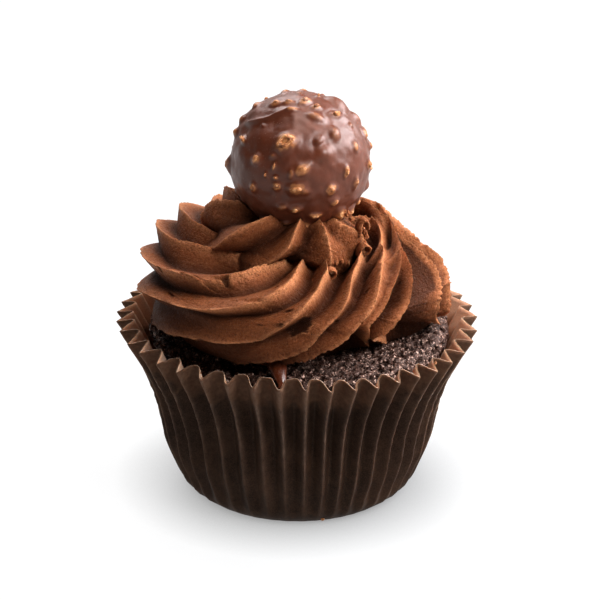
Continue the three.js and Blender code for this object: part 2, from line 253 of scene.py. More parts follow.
def icosphere(sub):
    t = (1 + 5 ** 0.5) / 2
    v = [(-1, t, 0), (1, t, 0), (-1, -t, 0), (1, -t, 0), (0, -1, t), (0, 1, t), (0, -1, -t), (0, 1, -t),
         (t, 0, -1), (t, 0, 1), (-t, 0, -1), (-t, 0, 1)]
    f = [(0, 11, 5), (0, 5, 1), (0, 1, 7), (0, 7, 10), (0, 10, 11), (1, 5, 9), (5, 11, 4), (11, 10, 2), (10, 7, 6), (7, 1, 8),
         (3, 9, 4), (3, 4, 2), (3, 2, 6), (3, 6, 8), (3, 8, 9), (4, 9, 5), (2, 4, 11), (6, 2, 10), (8, 6, 7), (9, 8, 1)]
    v, f = np.array(v, float), np.array(f)
    v /= np.linalg.norm(v, axis=1)[:, None]
    for _ in range(sub):
        e = np.sort(np.concatenate([f[:, [0, 1]], f[:, [1, 2]], f[:, [2, 0]]]), 1)
        u, inv = np.unique(e, axis=0, return_inverse=True)
        inv = inv.reshape(-1)
        mid = v[u].mean(1)
        mid /= np.linalg.norm(mid, axis=1)[:, None]
        n, k = len(f), len(v)
        a, b, c = inv[:n] + k, inv[n:2 * n] + k, inv[2 * n:] + k
        f = np.concatenate([np.stack([f[:, 0], a, c], 1), np.stack([f[:, 1], b, a], 1), np.stack([f[:, 2], c, b], 1), np.stack([a, b, c], 1)])
        v = np.concatenate([v, mid])
    return v, f


def lumps(name, spots, sizes, sub, seed, squash=(1, 1, 1), rough=0.28, facets=0.0, turns=None, attrs=None):
    """Many small uneven pieces as one mesh: each an icosphere pushed about by noise."""
    base, tri = icosphere(sub)
    rng = np.random.default_rng(seed)
    V, F = [], []
    for i, (p, s) in enumerate(zip(spots, sizes)):
        q = base * (1 + rough * fbm(base * 1.3 + rng.random(3) * 50, 2, seed)[:, None])
        if facets:
            for _ in range(7):  # broken flat faces
                n = rng.normal(size=3)
                n /= np.linalg.norm(n)
                d = q @ n
                lim = 1 - facets * (0.25 + 0.5 * rng.random())
                q = q - np.clip(d - lim, 0, None)[:, None] * n * 0.9
        q = q * squash * (0.8 + 0.4 * rng.random(3)) * s
        m = turns[i] if turns is not None else np.linalg.qr(rng.normal(size=(3, 3)))[0]
        if np.linalg.det(m) < 0:
            m = m * np.array([1, 1, -1])
        V.append(q @ m.T + p)
        F.append(tri + i * len(base))
    return mesh_object(name, np.concatenate(V), [np.concatenate(F)], attrs)


def remove(ob):
    me = ob.data
    bpy.data.objects.remove(ob, do_unlink=True)
    bpy.data.meshes.remove(me)


def boolean(ob, others, how):
    """ob joined with, or cut by, the others, which are used up."""
    for other in others:
        mod = ob.modifiers.new("b", "BOOLEAN")
        mod.operation, mod.object = how, other
        mod.solver = "MANIFOLD"
        dg = bpy.context.evaluated_depsgraph_get()
        made = bpy.data.meshes.new_from_object(ob.evaluated_get(dg), preserve_all_data_layers=True, depsgraph=dg)
        ob.modifiers.remove(mod)
        old, ob.data = ob.data, made
        bpy.data.meshes.remove(old)
        remove(other)
    return ob


def gouge(ob, x, z, along, across, deep, turn, seed, attrs):
    """Tears a ragged hollow out of the front of ob at (x, z): along x, across z and deep y are its half sizes."""
    hit, spot, _, _ = ob.ray_cast(Vector(((x + SHIFT[0]) * MM, -0.1, z * MM)), Vector((0, 1, 0)))
    if not hit:
        return ob
    at = np.array([x, spot.y / MM - SHIFT[1], z])
    c, k = math.cos(math.radians(turn)), math.sin(math.radians(turn))
    v, f = icosphere(5)
    q = v * (1 + 0.34 * fbm(v * 1.7 + seed, 3, seed) + 0.06 * noise(v * 7.0, seed + 5))[:, None]
    m = np.stack([np.array([c, 0, k]) * along, np.array([-k, 0.2, c]) * across, np.array([0, deep, 0])], 1)
    cutter = mesh_object("cutter", q @ m.T + at, [f], {key: value + 0 * v[:, 0] for key, value in attrs.items()})
    ob = boolean(ob, [cutter], "DIFFERENCE")
    # the lip left round it is thin; a painted highlight runs along it, and the hole inside is painted dark as shade
    co = np.zeros(3 * len(ob.data.vertices), np.float32)
    ob.data.vertices.foreach_get("co", co)
    d = (co.reshape(-1, 3) / MM - SHIFT - at) @ np.linalg.inv(m).T
    e = np.linalg.norm(d, axis=1)
    e = e / (1 + 0.34 * fbm(d / e[:, None] * 1.7 + seed, 3, seed))
    hole, edge = np.zeros(len(e), np.float32), np.zeros(len(e), np.float32)
    ob.data.attributes["hole"].data.foreach_get("value", hole)
    ob.data.attributes["edge"].data.foreach_get("value", edge)
    ob.data.attributes["hole"].data.foreach_set("value", np.where(e < 1.015, 0.9, hole).astype(np.float32))
    ob.data.attributes["edge"].data.foreach_set("value", np.maximum(edge, 0.8 * np.exp(-((e - 1.16) / 0.09) ** 2) * (e > 1.02)).astype(np.float32))
    return ob


# =====================================================================================
# Material helpers
# =====================================================================================
class Mat:
    def __init__(self, name):
        self.m = bpy.data.materials.new(name)
        self.m.use_nodes = True
        self.nt = self.m.node_tree
        self.nt.nodes.clear()
        self.out = self.nt.nodes.new("ShaderNodeOutputMaterial")
        self.b = self.nt.nodes.new("ShaderNodeBsdfPrincipled")
        self.nt.links.new(self.b.outputs[0], self.out.inputs["Surface"])
        self.tc = self.nt.nodes.new("ShaderNodeTexCoord")

    def put(self, socket, value):
        if isinstance(value, bpy.types.NodeSocket):
            self.nt.links.new(value, socket)
        elif isinstance(value, (tuple, list)) and len(value) == 3 and socket.type == "RGBA":
            socket.default_value = (*value, 1)
        else:
            socket.default_value = value

    def set(self, **kw):
        for k, v in kw.items():
            self.put(self.b.inputs[k.replace("_", " ")], v)

    def coords(self, scale=(1, 1, 1), turn=(0, 0, 0)):
        n = self.nt.nodes.new("ShaderNodeMapping")
        self.nt.links.new(self.tc.outputs["Object"], n.inputs["Vector"])
        n.inputs["Scale"].default_value = scale
        n.inputs["Rotation"].default_value = turn
        return n.outputs[0]

    def noise(self, mm, detail=3.0, rough=0.5, warp=0.0, vec=None, w=None):
        """Noise whose features are about mm millimetres across."""
        n = self.nt.nodes.new("ShaderNodeTexNoise")
        if w is not None:
            n.noise_dimensions = "4D"
            n.inputs["W"].default_value = w
        self.nt.links.new(vec or self.tc.outputs["Object"], n.inputs["Vector"])
        n.inputs["Scale"].default_value = 1000.0 / mm
        n.inputs["Detail"].default_value = detail
        n.inputs["Roughness"].default_value = rough
        n.inputs["Distortion"].default_value = warp
        return n.outputs["Fac"]

    def voronoi(self, mm, feature="F1", random=1.0, vec=None, smoothness=0.5):
        n = self.nt.nodes.new("ShaderNodeTexVoronoi")
        n.feature = feature
        self.nt.links.new(vec or self.tc.outputs["Object"], n.inputs["Vector"])
        n.inputs["Scale"].default_value = 1000.0 / mm
        n.inputs["Randomness"].default_value = random
        if feature == "SMOOTH_F1":
            n.inputs["Smoothness"].default_value = smoothness
        return n.outputs["Distance"]

    def attr(self, name):
        n = self.nt.nodes.new("ShaderNodeAttribute")
        n.attribute_name = name
        return n.outputs["Fac"]

    def z(self):
        n = self.nt.nodes.new("ShaderNodeSeparateXYZ")
        self.nt.links.new(self.tc.outputs["Object"], n.inputs[0])
        return n.outputs["Z"]

    def math(self, op, a, b=0.0, c=0.0, clamp=False):
        n = self.nt.nodes.new("ShaderNodeMath")
        n.operation, n.use_clamp = op, clamp
        for s, v in zip(n.inputs, (a, b, c)):
            self.put(s, v)
        return n.outputs[0]

    def range(self, v, a, b, lo=0.0, hi=1.0, soft=True):
        n = self.nt.nodes.new("ShaderNodeMapRange")
        n.interpolation_type = "SMOOTHSTEP" if soft else "LINEAR"
        for s, x in zip(n.inputs, (v, a, b, lo, hi)):
            self.put(s, x)
        return n.outputs[0]

    def ramp(self, fac, stops):
        n = self.nt.nodes.new("ShaderNodeValToRGB")
        self.put(n.inputs[0], fac)
        e = n.color_ramp.elements
        while len(e) < len(stops):
            e.new(0.5)
        for el, (p, c) in zip(e, stops):
            el.position, el.color = p, (*c, 1)
        return n.outputs[0]

    def mix(self, fac, a, b, how="MIX"):
        n = self.nt.nodes.new("ShaderNodeMix")
        n.data_type, n.blend_type = "RGBA", how
        n.clamp_factor = True
        self.put(n.inputs[0], fac)
        self.put(n.inputs[6], a)
        self.put(n.inputs[7], b)
        return n.outputs[2]

    def bump(self, height, mm, strength=1.0, under=None):
        n = self.nt.nodes.new("ShaderNodeBump")
        self.put(n.inputs["Height"], height)
        n.inputs["Distance"].default_value = mm * MM
        n.inputs["Strength"].default_value = strength
        if under is not None:
            self.nt.links.new(under, n.inputs["Normal"])
        return n.outputs[0]


# =====================================================================================
# Paper case
# =====================================================================================
_wr = curve(*zip(*WALL))
_s = np.linspace(0, 1, 61)
_slant = np.concatenate([[0], np.cumsum(np.hypot(CASE_H / 60, np.diff(_wr(_s))))])


def pleat_depth(t):
    half = np.pi * (BASE_R + np.interp(t, _s, _slant)) / PLEATS
    pitch = np.pi * (_wr(t) - 1.5) / PLEATS
    return np.sqrt(np.clip(half * half - pitch * pitch, 0, None)) * np.clip(0.15 + t * 6, None, 1)


def build_case():
    per, rows = 18, 44
    cols = PLEATS * per
    rng = np.random.default_rng(11)
    k = np.arange(cols) / per
    u0 = k - np.floor(k)
    pid = np.floor(k + 0.5).astype(int) % PLEATS  # the fold each column is nearest to
    # samples crowd towards the sharp outer folds
    u = 0.5 - 0.5 * np.cos(np.pi * u0)
    u = 0.55 * u0 + 0.45 * u
    kk = np.floor(k) + u
    t = np.linspace(0, 1, rows) ** 0.85
    K, T = np.meshgrid(kk, t)
    U = K - np.floor(K)
    base = 2 * np.pi * K / PLEATS
    phi = base + np.radians(wave(PLEAT_WARP, base) + PLEAT_FRONT[0] * hump(np.degrees(base), *PLEAT_FRONT[1:]))
    # how triangular (folded) against round (fluted) a pleat is: round in front, crisp at the sides and back
    front = np.exp(-((np.degrees(np.arctan2(np.sin(phi + np.pi / 2 + 0.12), np.cos(phi + np.pi / 2 + 0.12))) / 42) ** 2))
    crisp = 0.78 * (1 - front)
    jd = rng.uniform(-1, 1, PLEATS)
    jh = rng.uniform(-1, 1, PLEATS)
    js = rng.uniform(-1, 1, PLEATS)
    jl = rng.uniform(-1, 1, PLEATS)

    def per_pleat(j):  # blends each pleat's own number across its walls
        a = j[np.floor(K).astype(int) % PLEATS]
        b = j[(np.floor(K).astype(int) + 1) % PLEATS]
        return a + (b - a) * smooth(U, 0.2, 0.8)

    eps = 0.09 + 0.12 * front + 0.06 * per_pleat(js)  # how blunt the outer folds are
    lean = 0.06 * per_pleat(jl) * np.sin(2 * np.pi * U)
    s = np.abs(np.sin(np.pi * (U + lean * 0.5)))
    round_ = (np.sqrt(s * s + eps * eps) - eps) / (np.sqrt(1 + eps * eps) - eps)
    tri = 1 - np.abs(2 * U - 1)
    tri = (np.sqrt(tri * tri + 0.03 ** 2) - 0.03)
    tri = np.where(tri > 0.8, tri - 0.35 * (tri - 0.8) ** 2 / 0.2, tri)
    arc = np.minimum(U, 1 - U) * 2 * np.pi * _wr(T) / PLEATS  # millimetres round the wall from the fold
    pitch_mm = 2 * np.pi * _wr(T) / PLEATS
    narrow = smooth(U * pitch_mm, 0.28, 1.25 + 0.2 * per_pleat(js)) * smooth((1 - U) * pitch_mm, 0.30, 1.95 + 0.3 * per_pleat(jl))
    narrow = narrow / narrow.max(1, keepdims=True)
    bent = 0.80 * (1 - smooth(T, 0.78, 0.94))  # below the rim each panel is bent along its middle
    narrow = narrow * (1 - bent) + tri * bent
    round_ = round_ * (1 - 0.9 * front) + narrow * 0.9 * front
    fold = round_ * (1 - crisp) + tri * crisp
    depth = pleat_depth(T) * (1 + 0.13 * per_pleat(jd) * smooth(T, 0.1, 0.9)) * (1 - 0.30 * front * smooth(T, 0.74, 0.94))
    # the fold softens to a shallow flute where the wall turns into the base
    fold = fold * smooth(T, -0.05, 0.16) + (1 - smooth(T, -0.05, 0.16)) * 0.5 * (1 - np.cos(2 * np.pi * U)) * 1.0
    r = _wr(T) - depth * fold + wave(RIM_PUSH, phi) * T * T
    z = (CASE_H - TIP_DROP * (1 - fold) + wave(RIM_LIFT, phi) + RIM_FRONT[0] * hump(np.degrees(phi), *RIM_FRONT[1:]) + 0.22 * per_pleat(jh) * smooth(T, 0.75, 1)) * T
    P = np.stack([r * np.cos(phi), r * np.sin(phi), z], -1)
    # slanting crush marks beside the folds, half way up
    crush = noise(np.stack([K * 2.2 + z * 0.55, z * 0.9, 0 * z], -1), 27)
    band = np.exp(-(np.minimum(U, 1 - U) / 0.24) ** 2) * smooth(T, 0.25, 0.4) * (1 - smooth(T, 0.78, 0.9))
    # handling creases and a slight buckle of the walls
    out = np.stack([np.cos(phi), np.sin(phi), 0 * phi], -1)
    buckle = 0.16 * noise(P / 7.0, 21) + 0.07 * noise(P / np.array([1.6, 1.6, 3.4]), 22) + 0.16 * crush * band
    along = np.stack([-np.sin(phi), np.cos(phi), 0 * phi], -1)
    P = P + out * (buckle * smooth(T, 0.02, 0.2))[..., None]
    P = P + along * (0.22 * noise(np.stack([K * 0.9, T * 2.2, 0 * K], -1), 23) * smooth(T, 0.1, 0.9))[..., None]
    # ragged cut along the rim, fold tips curled a touch
    tip = 1 - fold
    P[..., 2] += smooth(T, 0.93, 1) * (0.10 * noise(P * 1.4, 24) - 0.12 * tip)
    # the inner skin: the same grid, in by the paper's thickness along its normal
    dk = np.roll(P, -1, 1) - np.roll(P, 1, 1)
    dt = np.gradient(P, axis=0)
    n = np.cross(dk, dt)
    n /= np.linalg.norm(n, axis=-1, keepdims=True) + 1e-9
    thick = 0.26
    Q = P - n * thick
    Q[..., 2] = np.where(T <= t[1], np.maximum(Q[..., 2], thick * (1 - T / t[1]) + P[..., 2]), Q[..., 2])
    Q[0, :, 2] = thick
    V = np.concatenate([P.reshape(-1, 3), Q[::-1].reshape(-1, 3), [[0, 0, 0], [0, 0, thick]]])
    nP = rows * cols
    F = [grid_faces(2 * rows, cols)]
    F.append(fan(np.arange(cols), 2 * nP, flip=True))
    F.append(fan(np.arange(cols) + (2 * rows - 1) * cols, 2 * nP + 1))
    tipness = np.exp(-(np.minimum(U, 1 - U) / (0.045 + 0.045 * front)) ** 2) * (0.25 + 0.75 * smooth(T, 0.05, 0.8)) * (0.75 + 0.5 * noise(P / np.array([1.2, 1.2, 2.5]), 26))
    inside = np.concatenate([np.zeros(nP), np.ones(nP), [0, 1]])
    tips = np.concatenate([tipness.ravel(), 0.3 * tipness[::-1].ravel(), [0, 0]])
    height = np.concatenate([T.ravel(), T[::-1].ravel(), [0, 0]])
    return mesh_object("case_pleated_paper", V, F, {"fold": tips, "inside": inside, "height": height})


def case_material():
    m = Mat("case_paper_brown")
    fibre = m.noise(0.22, 4, 0.6)
    fibre2 = m.noise(0.5, 3, 0.55, vec=m.coords((1, 1, 0.35)))
    cloud = m.noise(6.0, 3, 0.55, w=1.0)
    blot = m.noise(3.2, 4, 0.62, 0.4, w=4.0)
    z = m.z()
    # grease has soaked the wall where the sponge touches it; a dry band is left under the rim
    edge = m.math("ADD", m.math("MULTIPLY", m.math("SUBTRACT", blot, 0.5), 0.0115), m.math("MULTIPLY", m.math("SUBTRACT", cloud, 0.5), 0.006))
    level = m.math("ADD", z, edge)
    dry = m.range(level, 0.0272, 0.0322)
    patchy = m.range(m.noise(9.0, 4, 0.6, 0.6, w=9.0), 0.42, 0.62)
    dry = m.math("MAXIMUM", dry, m.math("MULTIPLY", patchy, 0.28))
    # the inner skin is lightened, partly as dry paper and partly as painted light shining through the thin wall
    dry = m.math("MAXIMUM", dry, m.math("MULTIPLY", m.range(m.attr("inside"), 0.70, 1.0), 0.75))
    soaked = m.ramp(m.noise(1.1, 4, 0.6), [(0.3, (0.0145, 0.0070, 0.0044)), (0.7, (0.034, 0.0176, 0.0114))])
    plain = m.ramp(m.noise(0.9, 4, 0.6), [(0.3, (0.070, 0.036, 0.0215)), (0.7, (0.112, 0.062, 0.0385))])
    c = m.mix(dry, soaked, plain)
    # painted light: the inside near the rim is painted pale, standing for light glowing through the thin paper
    c = m.mix(m.math("MULTIPLY", m.range(m.attr("inside"), 0.70, 1.0), m.range(level, 0.027, 0.032)), c, (0.50, 0.335, 0.240))
    c = m.mix(m.range(fibre, 0.35, 0.7, 0.0, 0.26), c, (0.13, 0.072, 0.044))
    c = m.mix(m.math("MULTIPLY", m.attr("fold"), m.range(fibre2, 0.3, 0.6, 0.30, 0.70)), c, (0.17, 0.112, 0.084))
    m.set(Base_Color=c, Roughness=m.range(m.math("ADD", dry, m.math("MULTIPLY", fibre2, 0.3)), 0.0, 1.2, 0.52, 0.84))
    m.b.inputs["Specular IOR Level"].default_value = 0.10
    m.b.inputs["Specular Tint"].default_value = (1.0, 0.80, 0.66, 1)
    m.b.inputs["Subsurface Weight"].default_value = 0.5
    m.b.inputs["Subsurface Radius"].default_value = (1.0, 0.75, 0.58)
    m.b.inputs["Subsurface Scale"].default_value = 0.0008
    h = m.math("ADD", m.math("MULTIPLY", fibre, 0.5), m.math("MULTIPLY", fibre2, 0.5))
    n1 = m.bump(m.noise(2.4, 3, 0.55), 0.10, 0.6)
    m.set(Normal=m.bump(h, 0.05, 0.7, n1))
    return m.m


# =====================================================================================
# Sponge
# =====================================================================================
def cake_side(z):
    t = np.clip(z / CASE_H, 0, 1)
    return _wr(t) - pleat_depth(t) - 0.6 - 0.35 - 0.45 * np.clip(t * 3, None, 1)


def build_cake():
    cols = 620
    phi = np.linspace(0, 2 * np.pi, cols, endpoint=False)
    edge = cake_side(CAKE_EDGE)
    # the crust from the crown out to the paper, then down the side
    profile = []
    top = edge - 2.6
    for r in np.linspace(12, top, 70):
        profile.append((r, 34.4 + 1.1 * (1 - (r / top) ** 3.0), 1.0))
    for a in np.linspace(0.08, 1, 14):
        profile.append((top + 2.2 * np.sin(a * np.pi / 2), 34.4 - 3.0 * (1 - np.cos(a * np.pi / 2)), 1.0))
    for z in np.linspace(30.9, 27, 7):
        profile.append((min(cake_side(z) - 0.05, top + 2.2), z, 0.8))
    for z in (22, 14, 6, 1.3):
        profile.append((min(cake_side(z), 99 if z > 4 else BASE_R - 1.8), z, 0.15))
    prof = np.array(profile)
    R = prof[:, 0][:, None] + 0 * phi
    Z = prof[:, 1][:, None] + 0 * phi
    W = prof[:, 2][:, None] + 0 * phi
    push = wave(RIM_PUSH, phi)[None, :] * (Z / CASE_H) ** 2
    P = np.stack([(R + push) * np.cos(phi), (R + push) * np.sin(phi), Z], -1)
    n = np.cross(np.roll(P, 1, 1) - np.roll(P, -1, 1), np.gradient(P, axis=0))
    n /= np.linalg.norm(n, axis=-1, keepdims=True)
    if n[5, 0, 2] < 0:
        n = -n
    # open crumb: clumps with dark pores between them
    warp = P + 0.35 * np.stack([noise(P / 1.7, 31), noise(P / 1.7, 32), noise(P / 1.7, 33)], -1)
    f1, f2 = cells(warp / 1.35, 41, both=True)
    g1, g2 = cells(warp / 0.72, 42, both=True)
    crack = smooth(f1, 0.10, 0.46)  # round pores of two sizes, thin walls between them
    fine = smooth(g1, 0.10, 0.44)
    pore = smooth(noise(P / 1.9, 35) + 0.6 * noise(P / 0.8, 36), 0.40, 0.75)
    h = 0.25 - 1.05 * (1 - crack) - 0.40 * (1 - fine) - 1.0 * pore + 0.36 * noise(P / 2.7, 34) + 0.16 * noise(P / 0.8, 37) + 0.10 * (f2 - f1)
    lift = 0.35 * noise(P / 9.0, 38) - 1.3 * hump(np.degrees(phi), 200, 38)[None, :] * smooth(R, 20, 27)
    h = h * W + lift * W
    P = P + n * np.clip(h, -1.5, 0.75)[..., None]
    under = np.hypot(P[..., 0], P[..., 1]) < 19.5
    P[..., 2] = np.where(under & (P[..., 2] > 30), np.minimum(P[..., 2], 35.75), P[..., 2])
    rows = len(prof)
    V = np.concatenate([P.reshape(-1, 3), [[0, 0, P[0, :, 2].mean()], [0, 0, 1.0]]])
    F = [grid_faces(rows, cols, flip=True), fan(np.arange(cols), rows * cols), fan(np.arange(cols) + (rows - 1) * cols, rows * cols + 1, flip=True)]
    # painted shade: how far a point lies inside a pore or crack, used to paint it dark
    deep = np.clip(0.8 * pore + 0.75 * (1 - crack) + 0.35 * (1 - fine), 0, 1) * np.clip(W, 0, 1)
    return mesh_object("cake_sponge", V, F, {"deep": np.concatenate([deep.ravel(), [0, 0]])})


def cake_material():
    m = Mat("sponge_dark_chocolate")
    deep = m.attr("deep")
    c = m.ramp(m.noise(0.8, 5, 0.65), [(0.3, (0.019, 0.0060, 0.0030)), (0.55, (0.046, 0.0165, 0.0095)), (0.75, (0.21, 0.100, 0.070))])
    # painted glints: pale specks stand in for the shine on the moist crumb
    c = m.mix(m.range(m.noise(0.52, 3, 0.6, w=3.0), 0.55, 0.63, 0, 0.92), c, (0.68, 0.460, 0.370))
    # painted shade: pores and cracks painted near black
    c = m.mix(m.math("MULTIPLY", deep, 0.95), c, (0.0040, 0.0016, 0.0010))
    m.set(Base_Color=c, Roughness=m.range(m.noise(0.6, 4, 0.7, w=7.0), 0.35, 0.65, 0.14, 0.56))
    m.b.inputs["Specular IOR Level"].default_value = 0.66
    m.b.inputs["Specular Tint"].default_value = (1.0, 0.76, 0.66, 1)
    n1 = m.bump(m.noise(0.9, 4, 0.65, w=2.0), 0.55, 1.0)
    m.set(Normal=m.bump(m.noise(0.34, 4, 0.65), 0.32, 1.0, n1))
    return m.m


# =====================================================================================
# Buttercream
# =====================================================================================
def tier(T, crests, psis, us, girth, seed, pits=(), rough_at=()):
    """One turn of the rope, its skin laid out along the crests of the star nozzle's star. Returns a closed mesh."""
    N = len(crests)
    base = [curve(T["stations"], c) for c in crests]  # psi -> azimuth of each crest
    line = np.stack([b(psis) for b in base], 1)
    line2 = np.stack([b(psis + 2) for b in base], 1)
    # each crest wanders a little
    rng = np.random.default_rng(seed)
    ww = np.stack([np.tile(np.arange(N) * 7.31, (len(psis), 1)), np.tile((psis / 34.0)[:, None], (1, N)), np.zeros((len(psis), N))], -1)
    room = np.minimum(np.diff(line, axis=1, append=line[:, :1] + 360), np.diff(line, axis=1, prepend=line[:, -1:] - 360))
    wob = 1.3 * noise(ww, seed) * np.clip(room / 9.0, 0, 1)
    line, line2 = line + wob, line2 + wob
    for k in range(1, N):  # crests that have joined stay in order
        line[:, k] = np.maximum(line[:, k], line[:, k - 1] + 0.06)
        line2[:, k] = np.maximum(line2[:, k], line2[:, k - 1] + 0.06)
    nxt = np.concatenate([line[:, 1:], line[:, :1] + 360], 1)
    nxt2 = np.concatenate([line2[:, 1:], line2[:, :1] + 360], 1)
    u = us[None, None, :]
    f0, f1 = line[:, :, None], nxt[:, :, None]
    phi = f0 + (f1 - f0) * u
    phi2 = line2[:, :, None] + (nxt2 - line2)[:, :, None] * u
    psi = psis[:, None, None] + 0 * phi

    def hull(ph, ps):
        c, s = np.cos(np.radians(ps)), np.sin(np.radians(ps))
        g = girth(ph, ps)
        sq, up = T["square"] + 0 * ph, T["up"] + 0 * ph
        if "flank" in T:
            v, at, wide = T["flank"]
            sq = np.where((s > 0) & (c > 0), sq + (v - sq) * hump(ph, at, wide), sq)
        for v, at, wide in T.get("rise", []):
            up = up + v * hump(ph, at, wide)
        for v, at, wide in T.get("thin", []):
            g = g + v * hump(ph, at, wide)
        for v, at, wide in T.get("swell", []):
            g = g - v * hump(ph, at, wide) * smooth(-ps, -40, 10)
        for v, at, wide in T.get("boxy", []):
            sq = np.where(s < 0, sq + v * hump(ph, at, wide), sq)
        e = 2 / sq
        x, y = np.sign(c) * np.abs(c) ** e, np.sign(s) * np.abs(s) ** e
        r, z = T["R"] + (T["a"] - g) * x, T["z"] + np.where(s > 0, up, T["down"]) * y
        if "tuck" in T:
            v, at, wide = T["tuck"]
            r = r - v * hump(ph, at, wide) * smooth(-ps, -4, 30)
        return r, z

    r, z = hull(phi, psi)
    r2, z2 = hull(phi, psi + 2)
    ds = np.maximum(np.hypot(r2 - r, z2 - z), 1e-3)
    slope = r * np.radians(phi2 - phi) / ds
    cosl = 1 / np.sqrt(1 + slope * slope)
    pitch = r * np.radians(f1 - f0) * cosl
    nr, nz = (z2 - z) / ds, -(r2 - r) / ds
    dist = np.minimum(u, 1 - u) * pitch  # distance to the nearest crest
    kk = np.arange(N)[None, :, None] + 0 * phi
    crest_id = (kk + (u > 0.5)) % N
    run = psi / 57.3 * T["a"]
    # valley: round between two sharp crests; no two alike
    var = noise(np.stack([kk * 3.7, psi / 50.0, 0 * phi], -1), seed + 3)
    cap, share = T["valley"] * (1 + 0.16 * var), T["ratio"] + 0 * phi
    for (k0, a0, a1, mm, more) in T.get("deeper", []):  # grooves cut deeper between a0 and a1
        w = (kk == k0) * smooth(psi, a0, a0 + 14) * (1 - smooth(psi, a1 - 14, a1))
        cap, share = cap + mm * w, share + more * w
    keen = 0 * phi
    for v, at, wide in T.get("keen", []):
        keen = keen + v * hump(phi, at, wide)
    cap = cap + 0.7 * keen
    depth = np.minimum(cap, share * pitch)
    lean = 1 + 0 * phi
    for v, at, wide in T.get("shelf", []):
        lean = lean - v * hump(phi, at, wide)
    for (k0, a0, a1, more) in T.get("lean_of", []):  # one groove's bottom nearer to its first crest, or to its second
        lean = lean + more * (kk == k0) * smooth(psi, a0, a0 + 14) * (1 - smooth(psi, a1 - 14, a1))
    ul = u ** lean
    vee = 1.04 - np.sqrt((2 * ul - 1) ** 2 + 0.0016)
    sn = np.clip(0.38 * np.sin(np.pi * ul) + 0.62 * vee, 0, 1)
    lip = (np.where(np.isin(kk, T.get("thin_fins", [])), 0.55, 0.9) - 0.25 * keen) / np.maximum(pitch, 1.5)  # the crest's own roundness
    valley = (np.sqrt(sn * sn + lip * lip) - lip) / (np.sqrt(1 + lip * lip) - lip)
    valley = valley ** (np.where(np.isin(kk, T.get("thin_fins", [])), 0.74, 0.92) - 0.06 * keen)
    h = -depth * valley
    p0 = np.stack([T["cx"] + r * np.cos(np.radians(phi)), T["cy"] + r * np.sin(np.radians(phi)), z], -1)
    # slow lumps
    h = h + 0.38 * noise(p0 / 8.0, seed + 4) + 0.16 * noise(p0 / 3.4, seed + 5)
    # drag lines that the nozzle leaves along the rope
    lines = noise(np.stack([kk * 9.1 + u * pitch / 0.75, run / 16.0, 0 * phi], -1), seed + 6)
    h = h + (0.15 * lines + 0.08 * noise(np.stack([kk * 9.1 + u * pitch / 0.38, run / 9.0, 0 * phi], -1), seed + 12)) * (0.25 + 0.75 * valley)
    # crests torn fine and uneven
    blade = np.exp(-(dist / 0.42) ** 2)
    rip = np.stack([crest_id * 11.3, run / 1.15, 0 * phi], -1)
    nick = np.abs(noise(rip, seed + 7)) * 0.55 + np.abs(noise(rip * [1, 2.7, 1], seed + 8)) * 0.30
    tear = smooth(noise(np.stack([crest_id * 5.9, run / 4.6, 0 * phi], -1), seed + 9), 0.42, 0.75)
    saw = np.abs(noise(rip * [1, 1.45, 1], seed + 13)) * np.exp(-(dist / 0.3) ** 2)
    h = h - blade * (nick * 0.75 + tear * (0.6 + 0.5 * nick)) - 0.6 * saw
    for (k0, p0_, p1_, cut) in T.get("rips", []):  # a stretch of crest torn away
        w = smooth(psi, p0_, p0_ + 2.5) * (1 - smooth(psi, p1_ - 2.5, p1_))
        w = w * (0.75 + 0.5 * noise(rip * [1, 1.2, 1], seed + 14))
        h = h - cut * w * np.exp(-(dist / 1.1) ** 2) * (crest_id == k0)
    h = h + np.exp(-(dist / 0.28) ** 2) * 0.34  # the knife edge itself
    # whipped-cream texture
    h = h + 0.10 * noise(p0 / 0.95, seed + 10) + 0.06 * noise(p0 / 0.5, seed + 11)
    P = p0 + h[..., None] * np.stack([nr * np.cos(np.radians(phi)), nr * np.sin(np.radians(phi)), nz], -1)
    N3 = np.stack([nr * np.cos(np.radians(phi)), nr * np.sin(np.radians(phi)), nz], -1)
    # rough, airy patches
    for (az, ps, wide, tall, amp) in rough_at:
        da = (phi - az + 180) % 360 - 180
        w = np.exp(-((da / wide) ** 2 + ((psi - ps) / tall) ** 2))
        f = 1 - np.clip(cells(P / 0.9, seed + 20) * 1.3, 0, 1)
        P = P - N3 * (w * (amp * (f ** 2) * 1.3 + 0.12 * amp * noise(P / 0.5, seed + 21)))[..., None]
